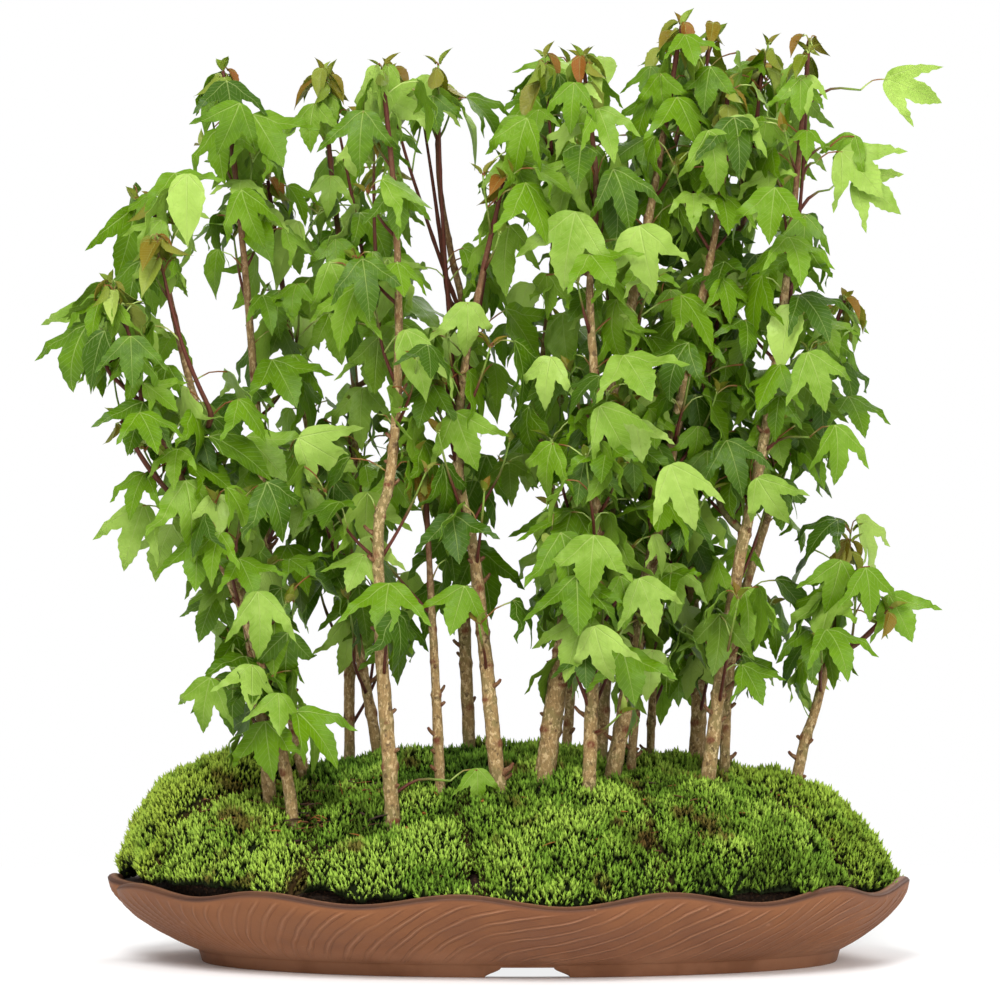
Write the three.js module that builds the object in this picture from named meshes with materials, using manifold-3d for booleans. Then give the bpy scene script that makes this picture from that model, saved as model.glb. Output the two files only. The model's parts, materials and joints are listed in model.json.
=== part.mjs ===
// A grove of twenty young trident maples planted on a mossy mound in a long clay tray.
// Units are millimetres. +X runs along the tray, -Y is the front, +Z is up, and the shelf is z = 0.
// The tray is a lobed oval with a wavy lip, a low foot ring with two gaps, and two drain holes.
// Each drain hole has a plastic screen and a wire clip. Coarse grit and then soil fill the tray.
// Cushions of moss cover the soil. Each maple is a trunk and a crown: the crown is the tree's
// leaves, with the young shoots that carry them drawn as a thin sleeve round the trunk.
import * as THREE from "three";
import { mergeVertices } from "three/addons/utils/BufferGeometryUtils.js";
import Module from "manifold-3d";

// ---- driving dimensions ----

const TRAY_LENGTH = 452; // rim, without the long lobe at the left end
const TRAY_SHIFT = 5; // the tray stands this far right of the middle of the whole
const TRAY_DEPTH = 288; // rim, front to back
const RIM_HEIGHT = 46; // middle height of the wavy rim
const RIM_WAVE = 3.4; // how far the rim rises and falls, at the front right
const NICK_DEPTH = 0.06; // the nick between two lobes, as a share of the half length
const NICK_WIDTH = 5; // in degrees
const FILL_NICK = 16; // the fill stands back from the nick over this many degrees
const WALL = 7;
const FLOOR = 7;
const FOOT_LENGTH = 366;
const FOOT_DEPTH = 204;
const FOOT_HEIGHT = 7;
const FOOT_WIDTH = 13;
const FOOT_TAPER = 2;
const FOOT_SHIFT = 6; // the foot ring stands this far right of the rim's middle
const RECESS = 6; // depth of the hollow inside the foot ring
const GAP_WIDTH = 47; // the gaps in the foot ring, at the shelf
const GAP_SLOPE = 9; // each end of a gap leans in by this much
const GAP_SHIFT = 10; // the gaps lie this far right of the rim's middle
const HOLE_RADIUS = 9;
const HOLE_SPACING = 190;

const SCREEN_SIZE = 30;
const SCREEN_THICK = 1;
const SCREEN_CELLS = 4;
const SCREEN_BAR = 2;
const WIRE_RADIUS = 0.7;

const FILL_CLEAR = 1.6; // between the fill and the wall
const GRIT_DEPTH = 6;
const SOIL_BELOW_RIM = 8;
const MOUND_RISE = 66; // soil at the crest, above the soil at the wall
const CREST_BACK = 24; // the crest lies this far behind the middle
const LEFT_HUMP = 27;
const RIGHT_HUMP = 15;
const HUMP_SPREAD = 25;
const MOSS_THIN = 5;
const MOSS_THICK = 13;
const MOSS_JOIN = 0.8; // the slit between two cushions

const ROOT_DEPTH = 20;
const ROOT_FLARE = 1.45;
const FLARE_HEIGHT = 12;
const TIP_RADIUS = 1.1;
const FORK_SHARE = 0.75; // a fork's radius, as a share of the stem's where it leaves
const SLEEVE_WALL = 0.9;

const PETIOLE_LENGTH = 15;
const PETIOLE_WIDTH = 1.4;
const BLADE_LENGTH = 36;
const BLADE_WIDTH = 38;
const BLADE_THICK = 0.9;
const LEAF_RISE = 25; // degrees above level where a petiole leaves the stem
const LEAF_CURL = 80; // degrees that the blade turns down over its length
const LEAF_STEP = 46; // height from one leaf to the next on a stem
const SPREAD_LIMIT = 249; // no leaf reaches further than this from the middle, along X

const CLEAR = 0.4; // between any two pieces
const MOSS_LIFT = 0.6; // from the soil straight up to the moss, on the slopes too
const STEM_CLEAR = 0.5; // between a stem and the sleeve round it
const LEAF_CLEAR = 0.6; // between a leaf and any other piece

// ---- the maples, left to right: foot on the ground, trunk radius, height of the lowest leaf,
// and the bends of the stem as [height, right, back] from the foot. A fork leaves the stem at a
// height and has bends of its own ----

const MAPLES = [
  { x: -133, y: -45, radius: 4.2, leaves: 70,
    bends: [[60, -5, 0], [150, -20, -4], [275, -52, -8], [350, -66, -14]] },
  { x: -118, y: -68, radius: 3.6, leaves: 60,
    bends: [[55, -9, 0], [130, -30, -4], [215, -70, -8], [272, -92, -10]],
    fork: { from: 175, bends: [[195, -70, -14], [225, -92, -20], [262, -103, -22]] } },
  { x: -114, y: -8, radius: 3.8, leaves: 75,
    bends: [[60, -11, 4], [145, -24, 6], [285, -34, 0], [414, -48, -6]] },
  { x: -92, y: 38, radius: 3.4, leaves: 45,
    bends: [[90, 0, 0], [180, 2, 2], [225, 4, 0], [330, -8, -4], [412, -15, -8]] },
  { x: -73, y: 22, radius: 3.3, leaves: 60,
    bends: [[50, -8, 2], [110, -21, 4], [235, -49, 0], [345, -65, -6]] },
  { x: -64, y: -82, radius: 4.3, leaves: 80,
    bends: [[60, -3, 3], [165, -9, 6], [205, -1, 8], [310, 3, 4], [425, -6, -2]] },
  { x: -38, y: -58, radius: 3.3, leaves: 120, bends: [[55, -2, 0], [110, -5, 2], [192, -9, 4]] },
  { x: -22, y: 28, radius: 4.0, leaves: 100,
    bends: [[100, -4, -2], [200, -7, -6], [275, -5, -8], [320, -16, -10], [400, -19, -12]] },
  { x: -4, y: -63, radius: 4.6, leaves: 90,
    bends: [[65, -7, 2], [135, -14, 4], [205, -25, 8], [280, -15, 6], [352, 1, 0]] },
  { x: 18, y: -45, radius: 6.0, leaves: 75,
    bends: [[55, 8, 4], [150, 22, 10], [255, 46, 14], [345, 64, 14], [435, 79, 10]] },
  { x: 32, y: 75, radius: 3.3, leaves: 80,
    bends: [[95, 4, -4], [205, -12, -12], [255, -12, -14], [325, -5, -18], [402, -14, -22]] },
  { x: 44, y: -62, radius: 4.2, leaves: 70,
    bends: [[100, 3, 2], [210, 5, 4], [300, 1, 2], [340, 5, 0], [420, -3, -6]] },
  { x: 52, y: 16, radius: 3.9, leaves: 75,
    bends: [[95, 6, 2], [210, 14, 4], [305, 30, 6], [370, 45, 6], [425, 66, 4]] },
  { x: 56, y: -36, radius: 5.0, leaves: 60,
    bends: [[70, 13, 2], [155, 28, 4], [260, 48, 6], [340, 64, 4], [402, 67, 0]] },
  { x: 69, y: 2, radius: 2.9, leaves: 85, bends: [[80, 6, 0], [150, 12, -4], [225, 10, -10]] },
  { x: 82, y: 64, radius: 2.6, leaves: 60,
    bends: [[70, 3, 2], [130, 8, 4], [245, 26, 4], [305, 46, 0]] },
  { x: 107, y: 34, radius: 4.8, leaves: 55,
    bends: [[75, 3, 2], [160, -5, 6], [260, 18, 8], [335, 26, 4], [422, 40, -2]] },
  { x: 110, y: -31, radius: 4.4, leaves: 70,
    bends: [[85, 11, 2], [135, 19, 2], [205, 33, 0], [280, 44, -4], [425, 58, -10]],
    fork: { from: 145, bends: [[180, 8, 12], [230, 2, 26], [290, 12, 34]] } },
  { x: 123, y: 8, radius: 3.4, leaves: 65,
    bends: [[80, 4, 2], [140, 19, 8], [225, 48, 14], [285, 70, 14]] },
  { x: 163, y: 4, radius: 3.6, leaves: 75,
    bends: [[30, 4, 0], [55, 12, 0], [110, 25, -2], [150, 31, -6]],
    fork: { from: 82, bends: [[97, 40, -10], [112, 52, -16]] } },
];

// ---- the moss cushions: the middle of each, as shares of the tray's half length and half depth ----

const CUSHIONS = {
  left_end: [-0.77, 0.05],
  left_front: [-0.6, -0.52],
  front_left: [-0.36, -0.48],
  front_tuft: [-0.32, -0.86],
  centre_left: [-0.27, -0.1],
  centre_front: [0.12, -0.62],
  right_front: [0.55, -0.52],
  right_end: [0.82, -0.02],
  back_left: [-0.42, 0.55],
  back_centre: [0.03, 0.45],
  back_right: [0.48, 0.45],
};

// ---- colours ----

const finish = (color, roughness) => new THREE.MeshStandardMaterial({ color, roughness, metalness: 0 });
const CLAY = finish("#8a5a45", 0.7);
const PLASTIC = finish("#26282a", 0.6);
const WIRE = new THREE.MeshStandardMaterial({ color: "#b9855a", roughness: 0.4, metalness: 1 });
const GRIT = finish("#a89878", 0.9);
const SOIL = finish("#35261b", 0.95);
const MOSS = finish("#5d8a34", 0.9);
const BARK = finish("#8c6f4e", 0.85);
const LEAF = finish("#5f9a2c", 0.5);

// ---- solids ----

const wasm = await Module();
wasm.setup();

// A closed three.js geometry as a solid that can be cut and joined.
function solidOf(geometry) {
  const bare = geometry.clone();
  bare.deleteAttribute("normal");
  bare.deleteAttribute("uv");
  const merged = mergeVertices(bare, 1e-4);
  return new wasm.Manifold(
    new wasm.Mesh({
      numProp: 3,
      vertProperties: merged.attributes.position.array,
      triVerts: new Uint32Array(merged.index.array),
    }),
  );
}

// A solid as a three.js geometry.
function geometryOf(solid) {
  const mesh = solid.getMesh();
  const places = new Float32Array(mesh.numVert * 3);
  for (let i = 0; i < mesh.numVert; i++) {
    places.set(mesh.vertProperties.subarray(i * mesh.numProp, i * mesh.numProp + 3), i * 3);
  }
  const geometry = new THREE.BufferGeometry();
  geometry.setAttribute("position", new THREE.BufferAttribute(places, 3));
  geometry.setIndex(new THREE.BufferAttribute(mesh.triVerts, 1));
  geometry.computeVertexNormals();
  return geometry;
}

function meshOf(name, solid, material) {
  const mesh = new THREE.Mesh(geometryOf(solid), material);
  mesh.name = name;
  return mesh;
}

// A skin over a stack of rings of points, each ring anticlockwise from above, with a fan on each end.
// The first few strips can have their diagonals turned, to lie flat on the skin of another loft.
function loft(rings, turned = 0) {
  const count = rings[0].length;
  const middle = (ring) => ring.reduce((sum, p) => sum.add(p), new THREE.Vector3()).divideScalar(count);
  const points = [...rings.flat(), middle(rings[0]), middle(rings.at(-1))];
  const first = points.length - 2;
  const last = points.length - 1;
  const faces = [];
  for (let j = 0; j < count; j++) {
    const k = (j + 1) % count;
    faces.push(first, k, j);
    for (let i = 0; i + 1 < rings.length; i++) {
      const low = i * count;
      const high = low + count;
      if (i < turned) faces.push(low + j, low + k, high + j, low + k, high + k, high + j);
      else faces.push(low + j, low + k, high + k, low + j, high + k, high + j);
    }
    const top = (rings.length - 1) * count;
    faces.push(last, top + j, top + k);
  }
  const geometry = new THREE.BufferGeometry().setFromPoints(points);
  geometry.setIndex(faces);
  return geometry;
}

function box(x0, x1, y0, y1, z0, z1) {
  const geometry = new THREE.BoxGeometry(x1 - x0, y1 - y0, z1 - z0);
  return solidOf(geometry.translate((x0 + x1) / 2, (y0 + y1) / 2, (z0 + z1) / 2));
}

// ---- the tray ----

const TRAY_SIDES = 60;
const degrees = THREE.MathUtils.degToRad;
const bump = (angle, at, width) => {
  const away = Math.atan2(Math.sin(angle - degrees(at)), Math.cos(angle - degrees(at)));
  return Math.exp(-((away / degrees(width)) ** 2));
};

// The rim's outline swells and sinks in lobes. A sharp nick at the left end parts a long lobe
// from the front.
const lobes = (a, nick) =>
  1 + 0.01 * Math.cos(9 * a + 0.6) + 0.04 * bump(a, 168, 14) - NICK_DEPTH * bump(a, 186, nick);

// The rim rises and falls, most of all along the front right.
const rimHeight = (a) => {
  const swing = RIM_WAVE * (0.7 + 0.3 * Math.cos(a - degrees(300)));
  return RIM_HEIGHT + swing * Math.cos(12 * (a - degrees(263)));
};

// A point of the outline between the foot (share 0) and the rim (share 1), moved in square to it.
function outline(angle, share, inset = 0, nick = NICK_WIDTH) {
  const at = (a) => {
    const half = (foot, rim) => (foot + (rim - foot) * share) / 2;
    const swell = 1 + (lobes(a, nick) - 1) * share;
    return new THREE.Vector3(
      FOOT_SHIFT * (1 - share) + half(FOOT_LENGTH, TRAY_LENGTH) * swell * Math.cos(a),
      half(FOOT_DEPTH, TRAY_DEPTH) * swell * Math.sin(a),
      0,
    );
  };
  const tangent = at(angle + 0.05).sub(at(angle - 0.05)).normalize();
  return at(angle).add(new THREE.Vector3(-tangent.y, tangent.x, 0).multiplyScalar(inset));
}

const around = (sides, point) => Array.from({ length: sides }, (_, i) => point((i / sides) * 2 * Math.PI));

// The wall bows out as it climbs: the share of the outline at a share of the height.
const bow = (climb) => Math.sin((climb * Math.PI) / 2) ** 0.9;
const climbAt = (a, z) => (z - FOOT_HEIGHT) / (rimHeight(a) - FOOT_HEIGHT);
const wallHeight = (a, climb) => FOOT_HEIGHT + (rimHeight(a) - FOOT_HEIGHT) * climb;
const floorTop = RECESS + FLOOR;

const INNER_CLIMBS = [1, 0.7, 0.4]; // where the wall's inner rings stand, as shares of its height

const wallRing = (climb, inset) =>
  around(TRAY_SIDES, (a) => {
    const height = Math.max(wallHeight(a, climb), inset ? floorTop : 0);
    return outline(a, bow(climb), inset).setZ(height);
  });

function makeTray() {
  const foot = (inset, z) => around(TRAY_SIDES, (a) => outline(a, 0, inset).setZ(z));
  const body = loft([
    foot(FOOT_WIDTH + 4, RECESS),
    foot(FOOT_WIDTH, RECESS),
    foot(FOOT_WIDTH, 0),
    foot(FOOT_TAPER, 0),
    foot(0, FOOT_HEIGHT),
    ...[0.15, 0.4, 0.7, 1].map((climb) => wallRing(climb, 0)),
    ...INNER_CLIMBS.map((climb) => wallRing(climb, WALL)),
    around(TRAY_SIDES, (a) => outline(a, bow(climbAt(a, floorTop)), WALL).setZ(floorTop)),
  ]);
  const low = new THREE.Shape([
    new THREE.Vector2(-GAP_WIDTH / 2, -1),
    new THREE.Vector2(GAP_WIDTH / 2, -1),
    new THREE.Vector2(GAP_WIDTH / 2, 0),
    new THREE.Vector2(GAP_WIDTH / 2 - GAP_SLOPE, RECESS - 0.2),
    new THREE.Vector2(GAP_SLOPE - GAP_WIDTH / 2, RECESS - 0.2),
    new THREE.Vector2(-GAP_WIDTH / 2, 0),
  ]);
  const cut = new THREE.ExtrudeGeometry(low, { depth: TRAY_DEPTH, bevelEnabled: false });
  cut.rotateX(Math.PI / 2).translate(GAP_SHIFT, TRAY_DEPTH / 2, 0);
  let tray = solidOf(body).subtract(solidOf(cut));
  for (const x of holePlaces()) {
    const drill = new THREE.CylinderGeometry(HOLE_RADIUS, HOLE_RADIUS, 3 * FLOOR, 16);
    tray = tray.subtract(solidOf(drill.rotateX(Math.PI / 2).translate(x, 0, floorTop - FLOOR / 2)));
  }
  return tray;
}

const holePlaces = () => [FOOT_SHIFT - HOLE_SPACING / 2, FOOT_SHIFT + HOLE_SPACING / 2];

// ---- drain screens and their clips ----

function makeScreen(x) {
  const half = SCREEN_SIZE / 2;
  const low = floorTop + CLEAR;
  const pitch = (SCREEN_SIZE - SCREEN_BAR) / SCREEN_CELLS;
  const cell = pitch - SCREEN_BAR;
  let screen = box(x - half, x + half, -half, half, low, low + SCREEN_THICK);
  for (let i = 0; i < SCREEN_CELLS; i++) {
    for (let j = 0; j < SCREEN_CELLS; j++) {
      const left = x - half + SCREEN_BAR + i * pitch;
      const front = SCREEN_BAR - half + j * pitch;
      screen = screen.subtract(box(left, left + cell, front, front + cell, floorTop, low + 2 * SCREEN_THICK));
    }
  }
  return screen;
}

// A wire staple: over the screen, down through two of its cells and the drain hole, and out
// under the floor.
function makeClip(x) {
  const cellMiddle = (SCREEN_SIZE - SCREEN_BAR) / SCREEN_CELLS / 2;
  const top = floorTop + CLEAR + SCREEN_THICK + CLEAR + WIRE_RADIUS;
  const under = RECESS - CLEAR - WIRE_RADIUS;
  const reach = HOLE_RADIUS + 3;
  const leg = [
    [cellMiddle + 1, under],
    [cellMiddle, under + 1.5],
    [cellMiddle, top - 1.5],
    [cellMiddle - 1, top],
  ];
  const half = [[reach, under], ...leg];
  const places = [...half, ...half.map(([u, z]) => [-u, z]).reverse()];
  const path = new THREE.CurvePath();
  for (let i = 0; i + 1 < places.length; i++) {
    const [from, to] = [places[i], places[i + 1]].map(([u, z]) => new THREE.Vector3(x + u, cellMiddle, z));
    path.add(new THREE.LineCurve3(from, to));
  }
  const ring = around(6, (a) => new THREE.Vector2(WIRE_RADIUS * Math.cos(a), WIRE_RADIUS * Math.sin(a)));
  const section = new THREE.Shape(ring);
  const wire = new THREE.ExtrudeGeometry(section, { steps: 18, extrudePath: path, bevelEnabled: false });
  return solidOf(wire);
}

// ---- grit, soil and moss ----

const FILL_SIDES = 26;
const gritTop = floorTop + CLEAR + GRIT_DEPTH;
const soilEdge = RIM_HEIGHT - SOIL_BELOW_RIM;

// A point of the wall's inner side at height z, moved in by the fill's clearance: straight
// between two rings.
function fillEdge(a, z) {
  const climbs = [climbAt(a, floorTop), ...[...INNER_CLIMBS].reverse()];
  const above = Math.max(1, climbs.findIndex((climb) => climb >= climbAt(a, z)));
  const [low, high] = [climbs[above - 1], climbs[above]];
  const edge = (climb) => outline(a, bow(climb), WALL + FILL_CLEAR, FILL_NICK);
  return edge(low).lerp(edge(high), (climbAt(a, z) - low) / (high - low));
}

// A ring of the fill at height z: it stands off the wall, or nearer the middle for a smaller share.
const fillRing = (z, share = 1) => around(FILL_SIDES, (a) => fillEdge(a, z).multiplyScalar(share).setZ(z));

// The height of the soil: one long mound with its crest behind the middle, and a hump near each end.
function ground(x, y) {
  const halfLength = TRAY_LENGTH / 2 - WALL;
  const halfDepth = TRAY_DEPTH / 2 - WALL;
  const along = Math.abs(x / halfLength) ** 2.6;
  const across = Math.abs((y - CREST_BACK) / (halfDepth + (y < CREST_BACK ? CREST_BACK : -CREST_BACK))) ** 2.2;
  const dome = Math.max(0, 1 - along - across);
  const hump = (at, high) => {
    const away = (x - at * halfLength) ** 2 + (y / 1.8) ** 2;
    return high * Math.exp(-away / (2 * HUMP_SPREAD ** 2)) * Math.min(1, 5 * dome);
  };
  return soilEdge + MOUND_RISE * dome + hump(-0.81, LEFT_HUMP) + hump(0.77, RIGHT_HUMP);
}

const cushionPlaces = () =>
  Object.values(CUSHIONS).map(([u, v]) => new THREE.Vector2((u * TRAY_LENGTH) / 2, (v * TRAY_DEPTH) / 2));

// Moss is thickest in the middle of a cushion and thin where two cushions meet.
function mossThickness(x, y) {
  const away = cushionPlaces().map((c) => Math.hypot(c.x - x, c.y - y)).sort((p, q) => p - q);
  return MOSS_THIN + (MOSS_THICK - MOSS_THIN) * (1 - Math.exp(-(away[1] - away[0]) / 22));
}

const mossTop = (x, y, share) =>
  ground(x, y) + MOSS_LIFT + mossThickness(x, y) * Math.min(1, 6 * (1.08 - share));

// A ring of the mound's surface at a share of the way from the middle to the wall.
const moundRing = (share, height) =>
  fillRing(soilEdge, share).map((p) => p.setZ(height(p.x, p.y, share)));

const SHARES_OUT = [0.25, 0.5, 0.73, 0.9, 1];
const SHARES_IN = [...SHARES_OUT].reverse();

function makeGrit() {
  const bottom = floorTop + CLEAR;
  const rings = [fillRing(bottom, 0.5), fillRing(bottom), fillRing(gritTop), fillRing(gritTop, 0.5)];
  let grit = solidOf(loft(rings));
  const half = SCREEN_SIZE / 2 + CLEAR;
  const pocket = CLEAR + SCREEN_THICK + CLEAR + 2 * WIRE_RADIUS + CLEAR;
  for (const x of holePlaces()) {
    grit = grit.subtract(box(x - half, x + half, -half, half, floorTop, floorTop + pocket));
  }
  return grit;
}

function makeSoil() {
  return solidOf(
    loft([
      fillRing(gritTop + CLEAR, 0.5),
      fillRing(gritTop + CLEAR),
      fillRing((gritTop + soilEdge) / 2),
      ...SHARES_IN.map((share) => moundRing(share, ground)),
    ]),
  );
}

function makeMossLayer() {
  const above = (x, y) => ground(x, y) + MOSS_LIFT;
  const below = SHARES_OUT.map((share) => moundRing(share, above));
  const top = SHARES_IN.map((share) => moundRing(share, mossTop));
  return solidOf(loft([...below, ...top], below.length - 1));
}

// The patch of ground nearest to one cushion's middle, as a flat outline, half a slit short of
// its neighbours.
function patchOf(middle, others) {
  const far = TRAY_LENGTH;
  let patch = [[-far, -far], [far, -far], [far, far], [-far, far]].map(([x, y]) => new THREE.Vector2(x, y));
  for (const other of others) {
    const towards = other.clone().sub(middle);
    const limit = towards.length() / 2 - MOSS_JOIN / 2;
    towards.normalize();
    const beyond = (p) => p.clone().sub(middle).dot(towards) - limit;
    const kept = [];
    patch.forEach((p, i) => {
      const q = patch[(i + 1) % patch.length];
      const [dp, dq] = [beyond(p), beyond(q)];
      if (dp <= 0) kept.push(p);
      if (dp * dq < 0) kept.push(p.clone().lerp(q, dp / (dp - dq)));
    });
    patch = kept;
  }
  return new THREE.Shape(patch);
}

function makeCushions() {
  const layer = makeMossLayer();
  const places = cushionPlaces();
  return places.map((middle, i) => {
    const patch = patchOf(middle, places.filter((_, j) => j !== i));
    const depth = 3 * (RIM_HEIGHT + MOUND_RISE);
    const column = new THREE.ExtrudeGeometry(patch, { depth, bevelEnabled: false });
    return layer.intersect(solidOf(column));
  });
}

// ---- maples ----

const STEM_SIDES = 6;

// A stem's rings: where each stands in the tree's own frame, and its radius.
function ringsAlong(points, count, radius) {
  const path = new THREE.CatmullRomCurve3(points);
  const [low, high] = [points[0].z, points.at(-1).z];
  return Array.from({ length: count + 1 }, (_, i) => {
    const at = path.getPoint(i / count);
    return { at, radius: THREE.MathUtils.lerp(radius, TIP_RADIUS, ((at.z - low) / (high - low)) ** 1.1) };
  });
}

const bendPoint = ([height, right, back]) => new THREE.Vector3(right, back, height);

function stemRings(maple) {
  const foot = new THREE.Vector3();
  const points = [foot, ...maple.bends.map(bendPoint)];
  const [base, ...rest] = ringsAlong(points, points.length + 1, maple.radius);
  const flare = maple.radius * ROOT_FLARE;
  return [
    { at: new THREE.Vector3(0, 0, -ROOT_DEPTH), radius: flare * 0.8 },
    { at: base.at, radius: flare },
    { ...stemAt([base, ...rest], FLARE_HEIGHT) },
    ...rest,
  ];
}

function forkRings(maple, rings) {
  const start = stemAt(rings, maple.fork.from);
  const points = [start.at, ...maple.fork.bends.map(bendPoint)];
  return ringsAlong(points, points.length, FORK_SHARE * start.radius);
}

const stemTube = (rings, extra) =>
  solidOf(
    loft(
      rings.map(({ at, radius }) =>
        around(STEM_SIDES, (a) =>
          new THREE.Vector3((radius + extra) * Math.cos(a), (radius + extra) * Math.sin(a), 0).add(at),
        ),
      ),
    ),
  );

// The middle of a stem and its radius at a height above the ground.
function stemAt(rings, height) {
  const found = rings.findIndex(({ at }) => at.z >= height);
  const next = found < 0 ? rings.length - 1 : Math.max(1, found);
  const [low, high] = [rings[next - 1], rings[next]];
  const share = Math.min(1, (height - low.at.z) / (high.at.z - low.at.z));
  const radius = THREE.MathUtils.lerp(low.radius, high.radius, share);
  return { at: low.at.clone().lerp(high.at, share), radius };
}

// The rings of a stem's leafy stretch, carried on past its tip.
function sleeveRings(rings, from, past) {
  const tip = rings.at(-1);
  return [
    stemAt(rings, from),
    ...rings.filter(({ at }) => at.z > from + 1),
    { at: tip.at.clone().add(new THREE.Vector3(0, 0, past)), radius: tip.radius },
  ];
}

// One leaf with its petiole, flat: three lobes, the middle one longest.
function leafShape() {
  const half = BLADE_WIDTH / 2;
  const right = [
    [PETIOLE_WIDTH / 2, 0],
    [PETIOLE_WIDTH / 2, PETIOLE_LENGTH],
    [half, PETIOLE_LENGTH + 0.55 * BLADE_LENGTH],
    [0.36 * half, PETIOLE_LENGTH + 0.5 * BLADE_LENGTH],
  ];
  const tip = [0, PETIOLE_LENGTH + BLADE_LENGTH];
  const left = right.map(([x, y]) => [-x, y]).reverse();
  return new THREE.Shape([...right, tip, ...left].map(([x, y]) => new THREE.Vector2(x, y)));
}

// The leaf bent: the petiole climbs straight, and the blade arches over and hangs. It grows
// along +X from the origin.
function bentLeaf() {
  const leaf = new THREE.ExtrudeGeometry(leafShape(), { depth: BLADE_THICK, bevelEnabled: false });
  const rise = degrees(LEAF_RISE);
  const curl = degrees(LEAF_CURL) / BLADE_LENGTH;
  const place = leaf.attributes.position;
  for (let i = 0; i < place.count; i++) {
    const along = place.getY(i);
    const past = Math.max(0, along - PETIOLE_LENGTH);
    const turn = rise - curl * past;
    const straight = Math.min(along, PETIOLE_LENGTH);
    const reach = straight * Math.cos(rise) + (Math.sin(rise) - Math.sin(turn)) / curl;
    const height = straight * Math.sin(rise) + (Math.cos(turn) - Math.cos(rise)) / curl;
    const lift = place.getZ(i) - BLADE_THICK / 2;
    const droop = past > 0 ? (0.25 * place.getX(i) ** 2) / BLADE_WIDTH : 0;
    place.setXYZ(i, reach - lift * Math.sin(turn), -place.getX(i), height + lift * Math.cos(turn) - droop);
  }
  return leaf;
}

const LEAF_SOLID = solidOf(bentLeaf());

// True if the two solids' boxes, grown by a clearance, overlap.
function boxesMeet(a, b, clearance) {
  const [p, q] = [a.boundingBox(), b.boundingBox()];
  return [0, 1, 2].every((i) => p.min[i] < q.max[i] + clearance && q.min[i] < p.max[i] + clearance);
}

const isFree = (solid, others) =>
  others.every(
    (other) => !boxesMeet(solid, other, LEAF_CLEAR) || solid.minGap(other, 2 * LEAF_CLEAR) > LEAF_CLEAR,
  );

const GOLDEN_ANGLE = 137.5;
const FIRST_TURN = 90;
const TURNS = [0, 20, -20, 40, -40, 60, -60, 80, -80, 100, -100, 120, -120, 140, -140, 160, -160, 180];
const LIFTS = [0, 4, -4, 8, -8, 12, -12, 16, -16];

// A leaf on a stem at about the wanted height and direction: it turns to the first free space.
function placeLeaf(rings, foot, height, direction, others) {
  for (const lift of LIFTS) {
    for (const turn of TURNS) {
      const stem = stemAt(rings, height + lift);
      const angle = direction + turn;
      const flat = (stem.radius + STEM_CLEAR + SLEEVE_WALL) * Math.cos(Math.PI / STEM_SIDES);
      const start = flat - SLEEVE_WALL / 2;
      const out = new THREE.Vector3(Math.cos(degrees(angle)), Math.sin(degrees(angle)), 0);
      const at = stem.at.clone().addScaledVector(out, start);
      const leaf = LEAF_SOLID.rotate([0, 0, angle]).translate([at.x, at.y, at.z]);
      const world = leaf.translate(foot.toArray());
      const bounds = world.boundingBox();
      const reach = Math.max(bounds.max[0] + TRAY_SHIFT, -bounds.min[0] - TRAY_SHIFT);
      if (reach < SPREAD_LIMIT && isFree(world, others)) return leaf;
    }
  }
  throw new Error("no free place for a leaf at height " + height.toFixed(0));
}

// The leafy stretches of a tree's stems, as solid rods a sleeve's wall thicker than the stems.
const makeSleeve = (stems) =>
  stems
    .map(({ rings, from }) => sleeveRings(rings, from, 2 * SLEEVE_WALL + STEM_CLEAR))
    .map((rings) => stemTube(rings, STEM_CLEAR + SLEEVE_WALL))
    .reduce((joined, rod) => joined.add(rod));

function makeCrown({ stems, sleeve, foot }, others, index) {
  let crown = sleeve;
  for (const { rings, leaves } of stems) {
    const forks = stems.filter((stem) => stem.rings !== rings);
    const ownForks = forks.map((stem) => stemTube(stem.rings, CLEAR).translate(foot.toArray()));
    const inTheWay = [...others, ...ownForks];
    const tip = rings.at(-1).at.z;
    const count = Math.max(1, Math.round((tip - leaves) / LEAF_STEP));
    for (let i = 0; i <= count; i++) {
      const height = THREE.MathUtils.lerp(leaves, tip - 2, i / count);
      const direction = FIRST_TURN * index + i * GOLDEN_ANGLE;
      crown = crown.add(placeLeaf(rings, foot, height, direction, inTheWay));
    }
  }
  for (const { rings } of stems) {
    crown = crown.subtract(stemTube(sleeveRings(rings, rings[0].at.z, STEM_CLEAR), STEM_CLEAR));
  }
  return crown;
}

// ---- assembly ----

const two = (n) => String(n).padStart(2, "0");

const planter = new THREE.Group();
planter.position.x = TRAY_SHIFT;
const tray = makeTray();
planter.add(meshOf("tray", tray, CLAY));
holePlaces().forEach((x, i) => {
  const side = i ? "right" : "left";
  planter.add(meshOf("drain_screen_" + side, makeScreen(x), PLASTIC));
  planter.add(meshOf("screen_clip_" + side, makeClip(x), WIRE));
});
planter.add(meshOf("drainage_grit", makeGrit(), GRIT));

const grove = MAPLES.map((maple) => {
  const foot = new THREE.Vector3(maple.x, maple.y, ground(maple.x, maple.y));
  const rings = stemRings(maple);
  const stems = [{ rings, from: maple.leaves + Math.min(...LIFTS) - PETIOLE_WIDTH, leaves: maple.leaves }];
  if (maple.fork) {
    const fork = forkRings(maple, rings);
    stems.push({ rings: fork, from: fork[0].at.z, leaves: maple.fork.from + Math.max(...LIFTS) });
  }
  const trunk = stems.map((stem) => stemTube(stem.rings, 0)).reduce((joined, stem) => joined.add(stem));
  return { foot, rings, stems, trunk, sleeve: makeSleeve(stems) };
});

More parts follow.
